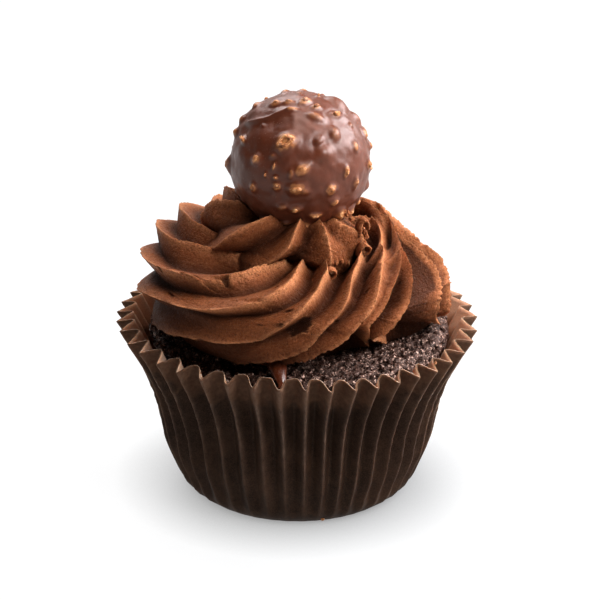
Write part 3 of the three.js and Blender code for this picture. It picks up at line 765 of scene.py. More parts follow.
    # burst bubbles and torn holes; the hole mask marks their insides for painted shade
    hole = np.zeros(phi.shape)
    for (az, ps, along, across, deep, turn) in pits:
        rr, zz = hull(np.array([[[az]]], float), np.array([[[ps]]], float))
        rr, zz = float(rr.ravel()[0]), float(zz.ravel()[0])
        r_, z_ = hull(np.array([[[az]]], float), np.array([[[ps + 2.0]]], float))
        tz, tr = float(z_.ravel()[0]) - zz, float(r_.ravel()[0]) - rr
        q = math.hypot(tz, tr)
        a_ = math.radians(az)
        up = np.array([tr / q * math.cos(a_), tr / q * math.sin(a_), tz / q])
        side = np.array([-math.sin(a_), math.cos(a_), 0])
        c0 = np.array([T["cx"] + rr * math.cos(a_), T["cy"] + rr * math.sin(a_), zz])
        d = p0 - c0
        X, Y = (d * side).sum(-1), (d * up).sum(-1)
        ct, st = math.cos(math.radians(turn)), math.sin(math.radians(turn))
        X, Y = X * ct + Y * st, -X * st + Y * ct
        near = np.abs((d * np.cross(side, up)).sum(-1)) < 6
        e = np.sqrt((X / along) ** 2 + (Y / across) ** 2) + 0.22 * noise(p0 / 0.8, seed + 30) * min(1.0, along)
        w = smooth(-e, -1.08, -0.72) * near
        lip = np.exp(-((e - 1.16) / 0.14) ** 2) * near * 0.12 * min(1.0, along)
        P = P - N3 * (w * deep - lip)[..., None]
        hole = np.maximum(hole, w)
    ring0 = P[0].reshape(-1, 3)
    low = T["floor"] if "floor" in T else ring0[:, 2].min()
    P[0, ..., 2] = low
    rows, cols = P.shape[0], P.shape[1] * P.shape[2]
    V = P.reshape(-1, 3)
    V = np.concatenate([V, [[T["cx"], T["cy"], low], [T["cx"], T["cy"], P[-1, ..., 2].mean()]]])
    F = [grid_faces(rows, cols), fan(np.arange(cols), rows * cols, flip=True), fan(np.arange(cols) + (rows - 1) * cols, rows * cols + 1)]
    # painted shade: the deeper below the hull, the darker the colour
    shade = np.clip(-h / 3.3, 0, 1) * (0.78 + 0.34 * np.clip(keen, 0, 1))
    for (k0, a0, a1) in T.get("painted_shade_panels", []):  # a panel of cream painted dark as shade, up to the next crest
        shade = np.maximum(shade, 1.05 * (kk == k0) * smooth(psi, a0, a0 + 16) * (1 - smooth(psi, a1 - 10, a1)) * (1 - smooth(u, 0.86, 0.985)))
    attrs = {
        # crest and edge: where the colour is lightened along the crests, a painted highlight
        "crest": np.exp(-(dist / 0.9) ** 2).ravel(),
        "edge": np.exp(-(dist / 0.36) ** 2).ravel(),
        "hollow": shade.ravel(),
        "hole": hole.ravel(),
        # under: painted shade on the undersides of the rope, less of it towards the right
        "under": (smooth(-psi + 9 * noise(p0 / 6.0, seed + 40), 4, 34) * (1 - 0.90 * hump(phi, -10, 42))).ravel(),
        # crease: painted shade along the bottom of each groove
        "crease": (np.exp(-((2 * ul - 1) * pitch / 1.5) ** 2) * smooth(depth, 1.0, 3.2)).ravel(),
        "across": (kk * 9.0 + u * pitch).ravel(),
        "along": run.ravel(),
    }
    attrs = {k: np.concatenate([v, [0, 0]]) for k, v in attrs.items()}
    return V, F, attrs


def steady(ph, ps):
    return 0 * ph


def torn(ph, ps):
    d = (ph + 180) % 360 - 180
    t = (d - TAIL[0]) / (TAIL[1] - TAIL[0])
    return np.where((t > 0) & (t < 1), TAIL[2] * np.sin(np.pi * np.clip(t * 1.2, 0, 1)) ** 0.5, 0)


def spread(n, crowd):
    j = np.arange(n) / n
    return (1 - crowd) * j + crowd * (0.5 - 0.5 * np.cos(np.pi * j))


def shred(name, centre, path, wide, thick, view_az, seed, lean=0.0):
    """A torn shaving of buttercream: a thin uneven band that follows `path` (mm to the right and up of its centre)."""
    pts = np.array(path, float)
    ext = np.vstack([2 * pts[0] - pts[1], pts, 2 * pts[-1] - pts[-2]])
    rows, cols = 10 * (len(pts) - 1) + 1, 20
    q = np.linspace(0, len(pts) - 1, rows)
    i = np.clip(q.astype(int), 0, len(pts) - 2)
    t = (q - i)[:, None]
    p0, p1, p2, p3 = ext[i], ext[i + 1], ext[i + 2], ext[i + 3]
    C = 0.5 * (2 * p1 + (p2 - p0) * t + (2 * p0 - 5 * p1 + 4 * p2 - p3) * t * t + (3 * p1 - p0 - 3 * p2 + p3) * t ** 3)
    az = math.radians(view_az)
    along = np.array([math.cos(az), math.sin(az), 0.12])
    out, up = np.array([-math.sin(az), math.cos(az), 0.0]), np.array([0, 0, 1.0])
    tang = np.gradient(C, axis=0)
    tang /= np.linalg.norm(tang, axis=1)[:, None]
    s = np.linspace(0, 1, rows)
    rng = np.random.default_rng(seed)
    w = wide * (0.45 + 0.55 * np.sin(np.pi * np.clip(0.15 + 0.85 * s, 0, 1)) ** 0.6) * (1 + 0.25 * np.interp(s, np.linspace(0, 1, 7), rng.uniform(-1, 1, 7)))
    th = thick * (1 - 0.40 * s) * (1 + 0.2 * np.interp(s, np.linspace(0, 1, 9), rng.uniform(-1, 1, 9)))
    ang = np.linspace(0, 2 * np.pi, cols, endpoint=False)
    V = []
    for k in range(rows):
        c = centre + out * C[k, 0] + up * C[k, 1] - along * lean * s[k]
        normal = -tang[k, 1] * out + tang[k, 0] * up
        V.append(c + np.outer(np.sign(np.cos(ang)) * np.abs(np.cos(ang)) ** 0.8, along * w[k] / 2) + np.outer(np.sign(np.sin(ang)) * np.abs(np.sin(ang)) ** 0.9, normal * th[k] / 2))
    V = np.array(V)
    V = V + 0.11 * np.stack([noise(V / 0.7, seed), noise(V / 0.7, seed + 1), noise(V / 0.7, seed + 2)], -1)
    ends = [V[0].mean(0), V[-1].mean(0)]
    n = rows * cols
    F = [grid_faces(rows, cols), fan(np.arange(cols), n, flip=True), fan(np.arange(cols) + (rows - 1) * cols, n + 1)]
    V = np.concatenate([V.reshape(-1, 3), ends])
    vol = 0.0
    for f in F:  # outside faces must face out
        t3 = f if f.shape[1] == 3 else np.concatenate([f[:, [0, 1, 2]], f[:, [0, 2, 3]]])
        vol += np.einsum("ij,ij->i", V[t3[:, 0]], np.cross(V[t3[:, 1]], V[t3[:, 2]])).sum()
    if vol < 0:
        F = [f[:, ::-1].copy() for f in F]
    ones = np.ones(len(V))
    # the shavings are painted as lit crest: high crest and edge masks give them a painted highlight
    return mesh_object(name, V, F, {"crest": 0.75 * ones, "edge": 0.25 * ones, "under": 0 * ones, "crease": 0 * ones, "hollow": 0.1 * ones, "hole": 0 * ones, "across": V[:, 2], "along": V[:, 0]})


def build_frosting():
    pits = [  # azimuth, section angle, half length, half width, depth, turn
        (-124, 70, 0.9, 0.7, 1.1, 0),
        (-140, 79, 0.42, 0.36, 0.5, 0),
        (-146, 16, 0.9, 0.34, 0.8, 8),
        (-156, 39, 0.65, 0.32, 0.7, 12),
        (-151, 46, 0.35, 0.3, 0.5, 0),
        (-32, 23, 0.42, 0.34, 0.5, 0),
        (-110, 3, 0.5, 0.22, 0.4, 10),
        (-99, -38, 0.7, 0.3, 0.5, 12),
        (-92, -34, 0.6, 0.28, 0.5, 14),
    ]
    rng = np.random.default_rng(5)
    for _ in range(46):
        s = rng.uniform(0.24, 0.5)
        pits.append((rng.uniform(-180, 180), rng.uniform(-40, 80), s * rng.uniform(0.9, 1.7), s, s * 1.1, rng.uniform(0, 40)))
    low = dict(LOW, floor=35.72, stations=STATIONS, thin_fins=[5, 6, 7, 8], painted_shade_panels=[(7, 6, 104)], shelf=[(0.36, -128, 58), (0.42, -36, 44)], keen=[(1.0, -25, 52)],
               rips=[(1, 55, 70, 1.3), (2, 38, 47, 0.5), (8, -30, -5, 0.6), (9, -12, 30, 0.5)],
               lean_of=[(5, 6, 104, 0.45), (7, -60, 118, -0.16)],
               deeper=[(5, -90, 6, 5.5, 0.4), (5, 4, 104, -1.0, -0.18), (6, -80, 84, 1.6, 0.50), (7, -60, 100, 1.3, 0.10), (4, 50, 118, 1.1, 0.12), (3, 60, 118, 0.6, 0.1)])
    V, F, A = tier(low, LOW_CRESTS, np.linspace(-62, 116, 186), spread(25, 0.6), steady, 100, pits,
                   [(-166, 22, 16, 26, 0.5), (-176, 10, 12, 18, 0.4), (-30, -25, 14, 22, 0.35)])
    lower = mesh_object("frosting_swirl", V, F, A)
    V, F, A = tier(dict(TOP, stations=TOP_STATIONS, swell=[(1.5, -38, 18)], keen=[(0.8, -90, 60)], boxy=[(1.8, -38, 20)], deeper=[(4, -90, 62, -1.5, -0.15)]), TOP_CRESTS, np.linspace(-60, 105, 96), spread(24, 0.5), torn, 200,
                   [(-150, 40, 0.3, 0.25, 0.4, 0), (-138, 55, 0.28, 0.24, 0.4, 0), (-160, 60, 0.3, 0.22, 0.4, 0)],
                   [(4, 40, 24, 60, 0.7)])
    upper = mesh_object("tier_top", V, F, A)
    # shavings and torn bits round the end of the rope
    bits = [
        shred("bit_a", np.array(CURL), [(-3.4, -1.6), (-2.1, -1.25), (-0.5, -1.15), (0.9, -0.5), (1.0, 0.45), (0.15, 0.95), (-0.7, 0.6), (-0.75, -0.05)], 3.0, 0.66, -84, 300),
        shred("bit_b", np.array([12.9, -8.6, 53.2]), [(-1.2, -1.1), (-0.8, 0.45), (0.1, 1.15), (1.0, 0.4), (0.9, -0.6), (-0.1, -1.15)], 2.8, 0.8, -74, 310),
        shred("bit_c", np.array([12.8, -7.0, 57.3]), [(-1.0, -1.6), (-0.9, 0.0), (-0.4, 1.3), (0.25, 1.5), (0.85, 0.6), (0.95, -0.6)], 2.8, 1.0, -70, 320),
    ]
    base, tri = icosphere(4)
    for k, (spot, size) in enumerate(FLAKES):
        rng = np.random.default_rng(400 + k)
        q = base * (1 + 0.42 * fbm(base * 1.5 + rng.random(3) * 40, 3, 400 + k)[:, None])
        q = q * (0.75 + 0.6 * rng.random(3)) * size
        # the flakes are painted as lit crest: high crest and edge masks give them a painted highlight
        bits.append(mesh_object("flake_%d" % k, q + np.array(spot), [tri], {"crest": 0.8 + 0 * q[:, 0], "edge": 0.35 + 0 * q[:, 0], "hollow": 0.1 + 0 * q[:, 0], "hole": 0 * q[:, 0], "under": 0 * q[:, 0], "crease": 0 * q[:, 0], "across": q[:, 2], "along": q[:, 0]}))
    upper = boolean(upper, bits, "UNION")
    ob = boolean(lower, [upper], "UNION")
    # the cut's own faces carry full hollow and hole masks: painted shade inside the gouges
    inner = {"crest": 0.0, "edge": 0.0, "hollow": 0.9, "hole": 0.9, "under": 0.0, "crease": 0.0, "across": 0.0, "along": 0.0}
    ob = gouge(ob, 0.4, 45.5, 2.5, 1.45, 2.2, 25, 41, inner)
    ob = gouge(ob, -1.5, 44.7, 0.9, 0.7, 1.4, 20, 43, inner)
    # the seat of the ball
    v, f = icosphere(4)
    seat = mesh_object("seat", v * (BALL_R + 0.12) + BALL_C, [f])
    ob = boolean(ob, [seat], "DIFFERENCE")
    ob.data.polygons.foreach_set("use_smooth", np.ones(len(ob.data.polygons), bool))
    return ob


def buttercream_material():
    m = Mat("buttercream_chocolate")
    crest, hollow, hole = m.attr("crest"), m.attr("hollow"), m.attr("hole")
    # drag lines run along the rope: a stretched noise laid across and along it
    grain = m.nt.nodes.new("ShaderNodeCombineXYZ")
    m.put(grain.inputs[0], m.math("MULTIPLY", m.attr("across"), MM))
    m.put(grain.inputs[1], m.math("MULTIPLY", m.attr("along"), MM * 0.09))
    streak = m.noise(0.55, 3, 0.6, vec=grain.outputs[0])
    c = m.ramp(m.noise(4.5, 3, 0.55), [(0.3, (0.208, 0.0640, 0.0205)), (0.7, (0.250, 0.0820, 0.0280))])
    c = m.mix(m.range(streak, 0.35, 0.7, 0, 0.35), c, (0.36, 0.142, 0.066))
    c = m.mix(m.range(m.noise(0.5, 4, 0.65, w=2.0), 0.40, 0.72, 0, 0.40), c, (0.17, 0.047, 0.015))
    # painted highlight: the cream is lightened along the crests, and more at their very edges, as if lit and glowing
    c = m.mix(m.math("MULTIPLY", crest, 0.42), c, (0.42, 0.172, 0.078))
    c = m.mix(m.math("MULTIPLY", m.attr("edge"), 0.80), c, (0.60, 0.262, 0.122))
    # painted shade: the hollows below the hull are painted dark
    c = m.mix(m.range(hollow, 0.28, 1.02, 0, 0.93), c, (0.050, 0.0125, 0.0038))
    c = m.mix(m.range(m.noise(0.34, 3, 0.7, w=8.0), 0.46, 0.64, 0, 0.58), c, (0.105, 0.0265, 0.0075))
    # pale flecks of grain, held back where the hollows carry painted shade
    c = m.mix(m.math("MULTIPLY", m.range(m.noise(0.42, 2, 0.6, w=13.0), 0.55, 0.70, 0, 0.46), m.math("SUBTRACT", 1.0, m.math("MULTIPLY", hollow, 0.7), clamp=True)), c, (0.46, 0.200, 0.102))
    # painted shade along the groove bottoms
    c = m.mix(m.math("MULTIPLY", m.attr("crease"), 0.62), c, (0.050, 0.0130, 0.0042))
    # painted shade on the undersides
    c = m.mix(m.math("MULTIPLY", m.attr("under"), 0.66), c, (0.050, 0.013, 0.0045))
    # painted shade inside holes and pits
    c = m.mix(m.math("MULTIPLY", hole, 0.8), c, (0.040, 0.011, 0.004))
    # fine pinholes, painted dark as the shade inside them
    pin = m.range(m.voronoi(1.1), 0.05, 0.18, 1.0, 0.0)
    keep = m.range(m.noise(2.1, 2, 0.5, w=5.0), 0.50, 0.58)
    pin = m.math("MULTIPLY", pin, keep)
    c = m.mix(m.math("MULTIPLY", pin, 0.75), c, (0.05, 0.014, 0.005))
    m.set(Base_Color=c, Roughness=m.range(m.noise(0.6, 3, 0.6), 0.3, 0.7, 0.44, 0.64))
    m.b.inputs["Specular IOR Level"].default_value = 0.18
    m.b.inputs["Specular Tint"].default_value = (1.0, 0.76, 0.62, 1)
    m.b.inputs["Subsurface Weight"].default_value = 0.10
    m.b.inputs["Subsurface Radius"].default_value = (1.0, 0.40, 0.17)
    m.b.inputs["Subsurface Scale"].default_value = 0.0007
    n1 = m.bump(m.noise(0.8, 4, 0.7), 0.56, 1.0)
    n2 = m.bump(m.noise(0.36, 3, 0.65), 0.33, 1.0, n1)
    n3 = m.bump(streak, 0.22, 1.0, n2)
    m.set(Normal=m.bump(pin, -0.25, 1.0, n3))
    return m.m


# =====================================================================================
# Nutty chocolate ball
# =====================================================================================
# nut bits seen from the front: azimuth, elevation, half length, half width (mm), turn, how bare
NUTS = [
    (-104, 35, 1.75, 1.15, 35, 1.0), (-156, 28, 0.95, 0.5, -15, 0.8), (-130, 18, 0.9, 0.75, 60, 0.55), (-114, 23, 0.5, 0.35, 30, 0.35),
    (-112, 15, 0.75, 0.3, 75, 0.55), (-119, 7, 0.45, 0.3, 80, 0.5), (-110, 6, 0.42, 0.32, 0, 0.6), (-88, 14, 1.25, 0.8, 25, 0.75),
    (-97, 10, 0.8, 0.4, 80, 0.45), (-131, -6, 0.85, 0.6, 70, 0.85), (-109, -1, 0.7, 0.6, 50, 0.8), (-93, -2, 1.35, 0.85, 15, 0.7),
    (-87, -4, 0.8, 0.6, 0, 0.4), (-64, -5, 0.95, 0.85, 40, 0.85), (-59, -18, 0.75, 0.55, 50, 0.6), (-49, 7, 0.95, 0.45, 75, 0.9),
    (-33, 24, 0.85, 0.55, 80, 0.7), (-38, -5, 1.1, 0.5, 75, 0.5), (-67, 25, 1.35, 1.1, 0, 0.12), (-51, 39, 1.1, 0.7, 60, 0.35),
    (-71, 36, 0.8, 0.55, 40, 0.2), (-66, 58, 1.3, 0.7, 140, 0.4), (-30, 54, 1.0, 0.6, 160, 0.6), (-126, 74, 1.0, 0.6, 20, 0.5),
    (-73, 77, 1.2, 0.7, 30, 0.8), (-104, 66, 0.95, 0.4, 10, 0.6), (-53, 68, 0.9, 0.5, 0, 0.6), (-152, 68, 1.0, 0.6, 40, 0.6),
    (168, 52, 0.9, 0.6, 0, 0.6), (172, 36, 0.9, 0.7, 30, 0.5), (180, 26, 0.8, 0.7, 60, 0.6), (-178, -2, 1.2, 0.95, 80, 0.6),
    (-105, -20, 0.8, 0.55, 20, 0.45), (-94, -22, 0.95, 0.6, 10, 0.5), (-76, -29, 1.0, 0.5, 0, 0.9), (-2, 25, 0.9, 0.6, 60, 0.5),
    (4, 12, 0.8, 0.6, 60, 0.5), (-15, 3, 0.9, 0.5, 90, 0.8), (12, 57, 2.2, 1.6, 0, 0.05), (-140, 46, 0.45, 0.3, 0, 0.2), (-20, 40, 0.5, 0.4, 0, 0.3),
]


def ball_parts():
    nuts = [list(n) for n in NUTS]
    rng = np.random.default_rng(17)
    have = [(n[0], n[1]) for n in nuts]

    def direction(az, el):
        a, e = np.radians(az), np.radians(el)
        return np.array([np.cos(e) * np.cos(a), np.cos(e) * np.sin(a), np.sin(e)])

    dirs = [direction(*h) for h in have]
    tries = 0
    while len(nuts) < 96 and tries < 6000:  # the same kind of scatter over the sides that face away
        tries += 1
        d = rng.normal(size=3)
        d /= np.linalg.norm(d)
        az, el = np.degrees(np.arctan2(d[1], d[0])), np.degrees(np.arcsin(d[2]))
        if -172 < az < -8 and el > -32:
            continue
        if el < -45 or max(float(d @ q) for q in dirs) > np.cos(np.radians(15)):
            continue
        s = rng.uniform(0.5, 1.25) * (0.62 if el > 48 else 1.0)
        nuts.append([az, el, s * rng.uniform(1.0, 1.5), s * rng.uniform(0.6, 0.95), rng.uniform(0, 180), rng.uniform(0.15, 0.95)])
        dirs.append(d)
    return nuts, np.array(dirs)


def nut_height(la, wa, bare):
    return 0.16 + 0.60 * min(la, wa * 1.3) * (0.95 - 0.30 * smooth(0.45 - bare, 0, 0.3))


def build_ball(nuts, dirs):
    v, f = icosphere(6)
    # slow dents and waves of the dipped coat
    h = 0.26 * noise(v * 2.1, 50) + 0.20 * noise(v * 4.3, 51) + 0.07 * noise(v * 9.0, 52)
    # the coat's run-off edge across the upper left
    a = np.degrees(np.arctan2(v[:, 1], v[:, 0]))
    e = np.degrees(np.arcsin(np.clip(v[:, 2], -1, 1)))
    line_el = 38 + 30 * smooth(a, -172, -108) + 3 * np.sin(np.radians(a * 4))
    span = smooth(a, -179, -165) * (1 - smooth(a, -112, -96))
    h = h + span * (0.34 * np.exp(-((e - line_el) / 2.2) ** 2) - 0.30 * smooth(line_el - e, 0, 7) * (1 - smooth(line_el - e, 8, 24)))
    tan = np.zeros(len(v))
    rise = np.zeros(len(v))
    for (az, el, la, wa, turn, bare), d in zip(nuts, dirs):
        near = v @ d > 0.93
        q = v[near]
        side = np.cross([0, 0, 1.0], d)
        side /= np.linalg.norm(side)
        up = np.cross(d, side)
        x, y = q @ side * BALL_R, q @ up * BALL_R
        ct, st = math.cos(math.radians(turn)), math.sin(math.radians(turn))
        x, y = x * ct + y * st, -x * st + y * ct
        k = noise(q * 9 + la, 55)
        g = np.sqrt((x / (la * 1.3)) ** 2 + (y / (wa * 1.4)) ** 2) * (1 + 0.15 * k)
        top = nut_height(la, wa, bare)
        b = top * (1 - smooth(g, 0.1, 1.6))
        rise[near] = np.maximum(rise[near], b) + 0.35 * np.minimum(rise[near], b)
        w = min(1.0, bare * 1.15) * (1 - smooth(g + 0.25 * noise(q * 16, 56), 0.45, 1.30))
        tan[near] = np.maximum(tan[near], w)
    h = h + rise
    P = v * (BALL_R - 0.1 + h)[:, None] + BALL_C
    return mesh_object("chocolate_nut_ball", P, [f], {"nut": tan, "rise": np.clip(rise, 0, 1.2), "low": smooth(line_el - e, 0, 10) * span})


def chocolate_material():
    m = Mat("chocolate_milk_coating")
    nut = m.attr("nut")
    c = m.ramp(m.noise(3.0, 3, 0.55), [(0.3, (0.092, 0.0228, 0.0088)), (0.7, (0.124, 0.0325, 0.0134))])
    c = m.mix(m.math("MULTIPLY", m.attr("rise"), 0.30), c, (0.180, 0.062, 0.031))
    speck = m.range(m.voronoi(0.5), 0.08, 0.2, 1.0, 0.0)
    zone = m.math("MULTIPLY", m.attr("low"), m.range(m.noise(1.6, 2, 0.5, w=3.0), 0.42, 0.6))
    c = m.mix(m.math("MULTIPLY", m.math("MULTIPLY", speck, zone), 0.6), c, (0.30, 0.13, 0.07))
    tan = m.ramp(m.noise(0.9, 4, 0.65, w=6.0), [(0.3, (0.21, 0.076, 0.027)), (0.55, (0.37, 0.155, 0.058)), (0.8, (0.58, 0.295, 0.130))])
    c = m.mix(m.range(nut, 0.12, 0.85, 0, 0.92), c, tan)
    m.set(Base_Color=c, Roughness=m.range(m.noise(1.8, 4, 0.6, w=1.0), 0.3, 0.72, 0.35, 0.49))
    m.b.inputs["Specular IOR Level"].default_value = 0.50
    m.b.inputs["Specular Tint"].default_value = (1.0, 0.94, 0.91, 1)
    m.b.inputs["Coat Weight"].default_value = 0.12
    m.b.inputs["Coat Roughness"].default_value = 0.30
    m.b.inputs["Subsurface Weight"].default_value = 0.12
    m.b.inputs["Subsurface Radius"].default_value = (1.0, 0.4, 0.2)
    m.b.inputs["Subsurface Scale"].default_value = 0.0008
    n1 = m.bump(m.noise(1.3, 3, 0.55), 0.12, 0.45)
    n2 = m.bump(m.noise(0.3, 3, 0.6, w=3.0), 0.035, 0.5, n1)
    m.set(Normal=m.bump(m.math("MULTIPLY", speck, zone), -0.12, 1.0, n2))
    return m.m


def nut_material():
    m = Mat("nut_bits_roasted")
    c = m.ramp(m.noise(0.7, 5, 0.68), [(0.28, (0.23, 0.085, 0.031)), (0.5, (0.43, 0.185, 0.072)), (0.72, (0.72, 0.42, 0.21))])
    c = m.mix(m.range(m.noise(1.3, 3, 0.5, w=5.0), 0.5, 0.62, 0, 0.8), c, (0.13, 0.045, 0.020))
    m.set(Base_Color=c, Roughness=m.range(m.noise(0.6, 3, 0.6, w=2.0), 0.3, 0.7, 0.34, 0.62))
    m.b.inputs["Specular IOR Level"].default_value = 0.36
    m.b.inputs["Subsurface Weight"].default_value = 0.15
    m.b.inputs["Subsurface Radius"].default_value = (1.0, 0.5, 0.25)
    m.b.inputs["Subsurface Scale"].default_value = 0.0006
    m.set(Normal=m.bump(m.noise(0.3, 4, 0.65), 0.12, 0.9))
    return m.m


def build_nuts(nuts, dirs):
    """The kernels that come through the coat: rounded caps, the largest one a broken half."""
    spots, turns, big, big_turns = [], [], [], []
    for i, ((az, el, la, wa, turn, bare), d) in enumerate(zip(nuts, dirs)):
        if bare < 0.5:
            continue
        side = np.cross([0, 0, 1.0], d)
        side /= np.linalg.norm(side)
        up = np.cross(d, side)
        ct, st = math.cos(math.radians(turn)), math.sin(math.radians(turn))
        x, y = side * ct + up * st, -side * st + up * ct
        h = 0.55 * wa + 0.25
        k = 0.62 + 0.32 * bare
        top = nut_height(la, wa, bare) + 0.02 + 0.14 * bare
        (big if i == 0 else spots).append(BALL_C + d * (BALL_R + top - h))
        (big_turns if i == 0 else turns).append(np.stack([x * la * k, y * wa * k, d * h], 1))
    small = lumps("nut_bits", spots, [1.0] * len(spots), 3, 61, rough=0.16, facets=0.22, turns=turns)
    # the broken half: an icosphere flattened into a cup with a raised, chipped lip
    v, f = icosphere(5)
    rho = np.hypot(v[:, 0], v[:, 1])
    cup = np.where(v[:, 2] > 0, v[:, 2] - 1.05 * np.exp(-(rho / 0.52) ** 2) * (1 + 0.3 * noise(v * 3.0, 67)), v[:, 2])
    q = np.stack([v[:, 0], v[:, 1], cup], 1) * (1 + 0.16 * fbm(v * 2.3, 3, 68)[:, None]) * 1.12
    for cut in ((0.8, 0.3, 0.5), (-0.5, 0.75, 0.4), (-0.7, -0.6, 0.35), (0.3, -0.9, 0.3)):
        n = np.array(cut) / np.linalg.norm(cut)
        q = q - np.clip(q @ n - 0.86, 0, None)[:, None] * n * 0.85
    broken = mesh_object("nut_half", q @ big_turns[0].T + big[0] + 0.45 * dirs[0], [f])
    return small, broken


# =====================================================================================
# Chocolate run, crumbs
# =====================================================================================
def build_drip():
    """A thin run of melted chocolate from under the swirl down to the paper."""
    path = np.array([(-4.0, -25.6, 36.9), (-3.8, -27.2, 36.6), (-3.5, -28.6, 36.1), (-3.15, -29.8, 35.3), (-2.9, -30.7, 34.4), (-2.75, -31.0, 33.6)])
    wid = np.array([2.2, 1.9, 1.55, 1.15, 0.80, 0.55])
    s = np.linspace(0, len(path) - 1, 46)
    i = np.clip(s.astype(int), 0, len(path) - 2)
    t = (s - i)[:, None]
    ext = np.vstack([2 * path[0] - path[1], path, 2 * path[-1] - path[-2]])
    p0, p1, p2, p3 = ext[i], ext[i + 1], ext[i + 2], ext[i + 3]
    C = 0.5 * ((2 * p1) + (-p0 + p2) * t + (2 * p0 - 5 * p1 + 4 * p2 - p3) * t * t + (-p0 + 3 * p1 - 3 * p2 + p3) * t ** 3)
    w = np.interp(s, np.arange(len(path)), wid)
    w = w + 0.42 * np.exp(-((s - 4.6) / 0.35) ** 2) - 0.06
    w[-1] *= 0.45
    w[-2] *= 0.85
    tang = np.gradient(C, axis=0)
    tang /= np.linalg.norm(tang, axis=1)[:, None]
    side = np.cross(tang, [0, -0.4, 1.0])
    side /= np.linalg.norm(side, axis=1)[:, None]
    up = np.cross(side, tang)
    ang = np.linspace(0, 2 * np.pi, 28, endpoint=False)
    V = C[:, None, :] + w[:, None, None] * (np.cos(ang)[None, :, None] * side[:, None, :] + 0.62 * np.sin(ang)[None, :, None] * up[:, None, :])
    V = V + 0.05 * noise(V / 0.9, 70)[..., None]
    rows, cols = V.shape[:2]
    n = rows * cols
    F = [grid_faces(rows, cols), fan(np.arange(cols), n, flip=True), fan(np.arange(cols) + (rows - 1) * cols, n + 1)]
    W = np.concatenate([V.reshape(-1, 3), [V[0].mean(0), V[-1].mean(0) + tang[-1] * 0.1]])
    vol = 0.0
    for f in F:
        q = f if f.shape[1] == 3 else np.concatenate([f[:, [0, 1, 2]], f[:, [0, 2, 3]]])
        vol += np.einsum("ij,ij->i", W[q[:, 0]], np.cross(W[q[:, 1]], W[q[:, 2]])).sum()
    if vol < 0:
        F = [f[:, ::-1].copy() for f in F]
    return mesh_object("chocolate_drip", W, F)


def drip_material():
    m = Mat("chocolate_melted")
    c = m.ramp(m.noise(1.5, 2, 0.5), [(0.35, (0.070, 0.0165, 0.0060)), (0.65, (0.125, 0.034, 0.0130))])
    m.set(Base_Color=c, Roughness=m.range(m.noise(0.8, 2, 0.5), 0.3, 0.7, 0.22, 0.34))
    m.b.inputs["Specular IOR Level"].default_value = 0.40
    m.b.inputs["Coat Weight"].default_value = 0.15
    m.b.inputs["Coat Roughness"].default_value = 0.16
    m.set(Normal=m.bump(m.noise(0.9, 2, 0.5), 0.06, 0.4))
    return m.m


def build_crumbs():
    rng = np.random.default_rng(23)
    spots, sizes = [], []
    edge = cake_side(CAKE_EDGE)
    while len(spots) < 260:
        a = rng.uniform(0, 2 * np.pi)
        r = edge - 0.5 - abs(rng.normal()) * 3.6
        if r < 21:
            continue
        x = max(0.0, r - edge + 2.6) / 2.2
        z = 34.6 - 3.0 * (1 - math.sqrt(max(0.0, 1 - x * x)))
        if x > 0.95:
            continue
        spots.append(np.array([r * np.cos(a), r * np.sin(a), z + 0.15 + rng.uniform(-0.1, 0.25)]))
        sizes.append(rng.uniform(0.22, 0.62) ** 1.0)
    return lumps("cake_crumbs", spots, sizes, 2, 24, rough=0.45)


def build_specks():
    spots = [np.array([5.0, -21.4, 0.75]), np.array([26.6, -22.7, 35.3])]
    return lumps("nut_crumbs", spots, [0.42, 0.34], 2, 29, rough=0.4, facets=0.5)


# =====================================================================================
# Assembly
# =====================================================================================
def finish(ob, mat, node=None):
    ob.data.materials.clear()
    ob.data.materials.append(mat)
    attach(ob, "root")
    if node:
        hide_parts(node)


finish(build_case(), case_material(), "paper_case")
cake_mat = cake_material()
finish(build_cake(), cake_mat, "cake")
finish(build_crumbs(), cake_mat)
finish(build_frosting(), buttercream_material(), "frosting")
nuts, dirs = ball_parts()
finish(build_ball(nuts, dirs), chocolate_material(), "chocolate_ball")
nut_mat = nut_material()
for bits in build_nuts(nuts, dirs):
    finish(bits, nut_mat)
finish(build_drip(), drip_material())
finish(build_specks(), nut_mat)

# =====================================================================================
# Stage: pale floor, soft light, camera
# =====================================================================================
S = 3.0
floor_mesh = bpy.data.meshes.new("floor")
floor_mesh.from_pydata([(-S, -S, 0), (S, -S, 0), (S, S, 0), (-S, S, 0)], [], [(0, 1, 2, 3)])
floor = bpy.data.objects.new("floor", floor_mesh)
bpy.context.scene.collection.objects.link(floor)
fm = Mat("floor_white")
fm.set(Base_Color=fm.ramp(fm.noise(60, 2, 0.5), [(0.3, (0.043, 0.043, 0.044)), (0.7, (0.050, 0.050, 0.051))]), Roughness=0.7)
near = fm.nt.nodes.new("ShaderNodeAmbientOcclusion")  # the glow dims where the cake stands close over it
near.samples = 8
near.inputs["Distance"].default_value = 0.014
fm.set(Emission_Strength=fm.range(near.outputs["AO"], 0.0, 1.0, 0.34, 0.905, soft=False))
fm.b.inputs["Emission Color"].default_value = (1.0, 1.0, 1.0, 1)
fm.b.inputs["Specular IOR Level"].default_value = 0.2
floor.data.materials.append(fm.m)

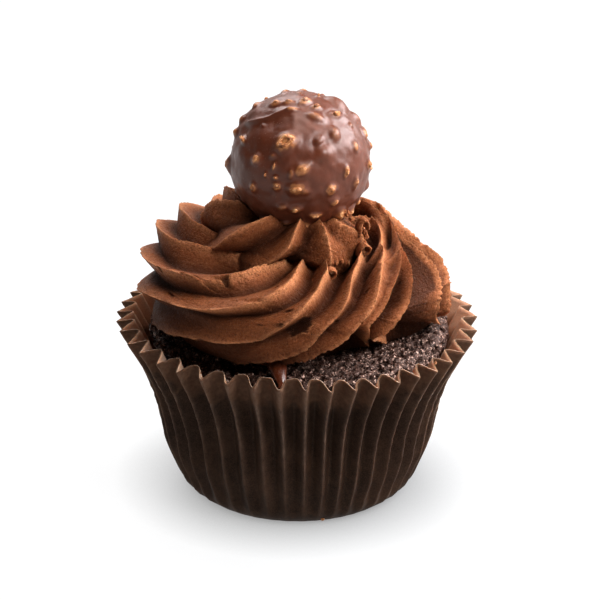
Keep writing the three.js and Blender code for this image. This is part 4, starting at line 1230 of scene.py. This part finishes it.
world = bpy.data.worlds.new("studio")
bpy.context.scene.world = world
world.use_nodes = True
bg = world.node_tree.nodes["Background"]
bg.inputs[0].default_value = (1.0, 0.965, 0.93, 1)  # the room is a little warmer than the window
wt = world.node_tree
compass = wt.nodes.new("ShaderNodeTexCoord")
height = wt.nodes.new("ShaderNodeSeparateXYZ")
glow = wt.nodes.new("ShaderNodeMapRange")  # a pale wall round the table, the room above it unlit
glow.interpolation_type = "SMOOTHSTEP"
wt.links.new(compass.outputs["Generated"], height.inputs[0])
wt.links.new(height.outputs["Z"], glow.inputs[0])
for socket, value in zip(glow.inputs[1:5], (0.13, 0.30, 0.74, 0.02)):
    socket.default_value = value
sway = wt.nodes.new("ShaderNodeVectorMath")  # paler on the window's side than on the room's side
sway.operation = "DOT_PRODUCT"
wt.links.new(compass.outputs["Generated"], sway.inputs[0])
sway.inputs[1].default_value = (0.17, 0.19, 0.0)
tilt = wt.nodes.new("ShaderNodeMath")
tilt.operation = "ADD"
wt.links.new(sway.outputs["Value"], tilt.inputs[0])
tilt.inputs[1].default_value = 0.77
fade = wt.nodes.new("ShaderNodeMath")
fade.operation = "MULTIPLY"
wt.links.new(glow.outputs[0], fade.inputs[0])
wt.links.new(tilt.outputs[0], fade.inputs[1])
wt.links.new(fade.outputs[0], bg.inputs[1])


def area(name, where, size, power, colour, aim=(0, 0, 0.045)):
    li = bpy.data.lights.new(name, "AREA")
    li.shape, li.size, li.size_y = "RECTANGLE", size[0], size[1]
    li.energy, li.color = power, colour
    ob = bpy.data.objects.new(name, li)
    bpy.context.scene.collection.objects.link(ob)
    ob.location = where
    ob.rotation_euler = (Vector(aim) - Vector(where)).to_track_quat("-Z", "Y").to_euler()
    return ob


area("window_right", (0.59, 0.15, 0.42), (0.80, 0.46), 14.6, (0.95, 0.99, 1.04))
area("window_front", (0.40, -0.38, 0.56), (0.24, 0.24), 4.8, (0.97, 0.985, 1.01))
area("window_back", (-0.17, 0.60, 0.60), (0.55, 0.50), 6.2, (0.98, 0.98, 1.0))
area("sky_top", (0.06, 0.04, 0.80), (0.5, 0.5), 4.0, (1.0, 0.97, 0.94))

cam_data = bpy.data.cameras.new("camera")
cam = bpy.data.objects.new("camera", cam_data)
bpy.context.scene.collection.objects.link(cam)
cam_data.sensor_width = 36.0
cam_data.lens = 3005.2 / 600 * 36.0
cam_data.clip_start, cam_data.clip_end = 0.01, 20
elev = math.radians(23.1)
cam.location = (np.array([0.5, 0.0, 38.82]) + SHIFT + 600.0 * np.array([0, -math.cos(elev), math.sin(elev)])) * MM
cam.rotation_euler = (math.pi / 2 - elev, 0, 0)
bpy.context.scene.camera = cam
bpy.context.scene.view_settings.view_transform = "Standard"
bpy.context.scene.view_settings.look = "None"
bpy.context.scene.view_settings.gamma = 0.85  # a print's contrast
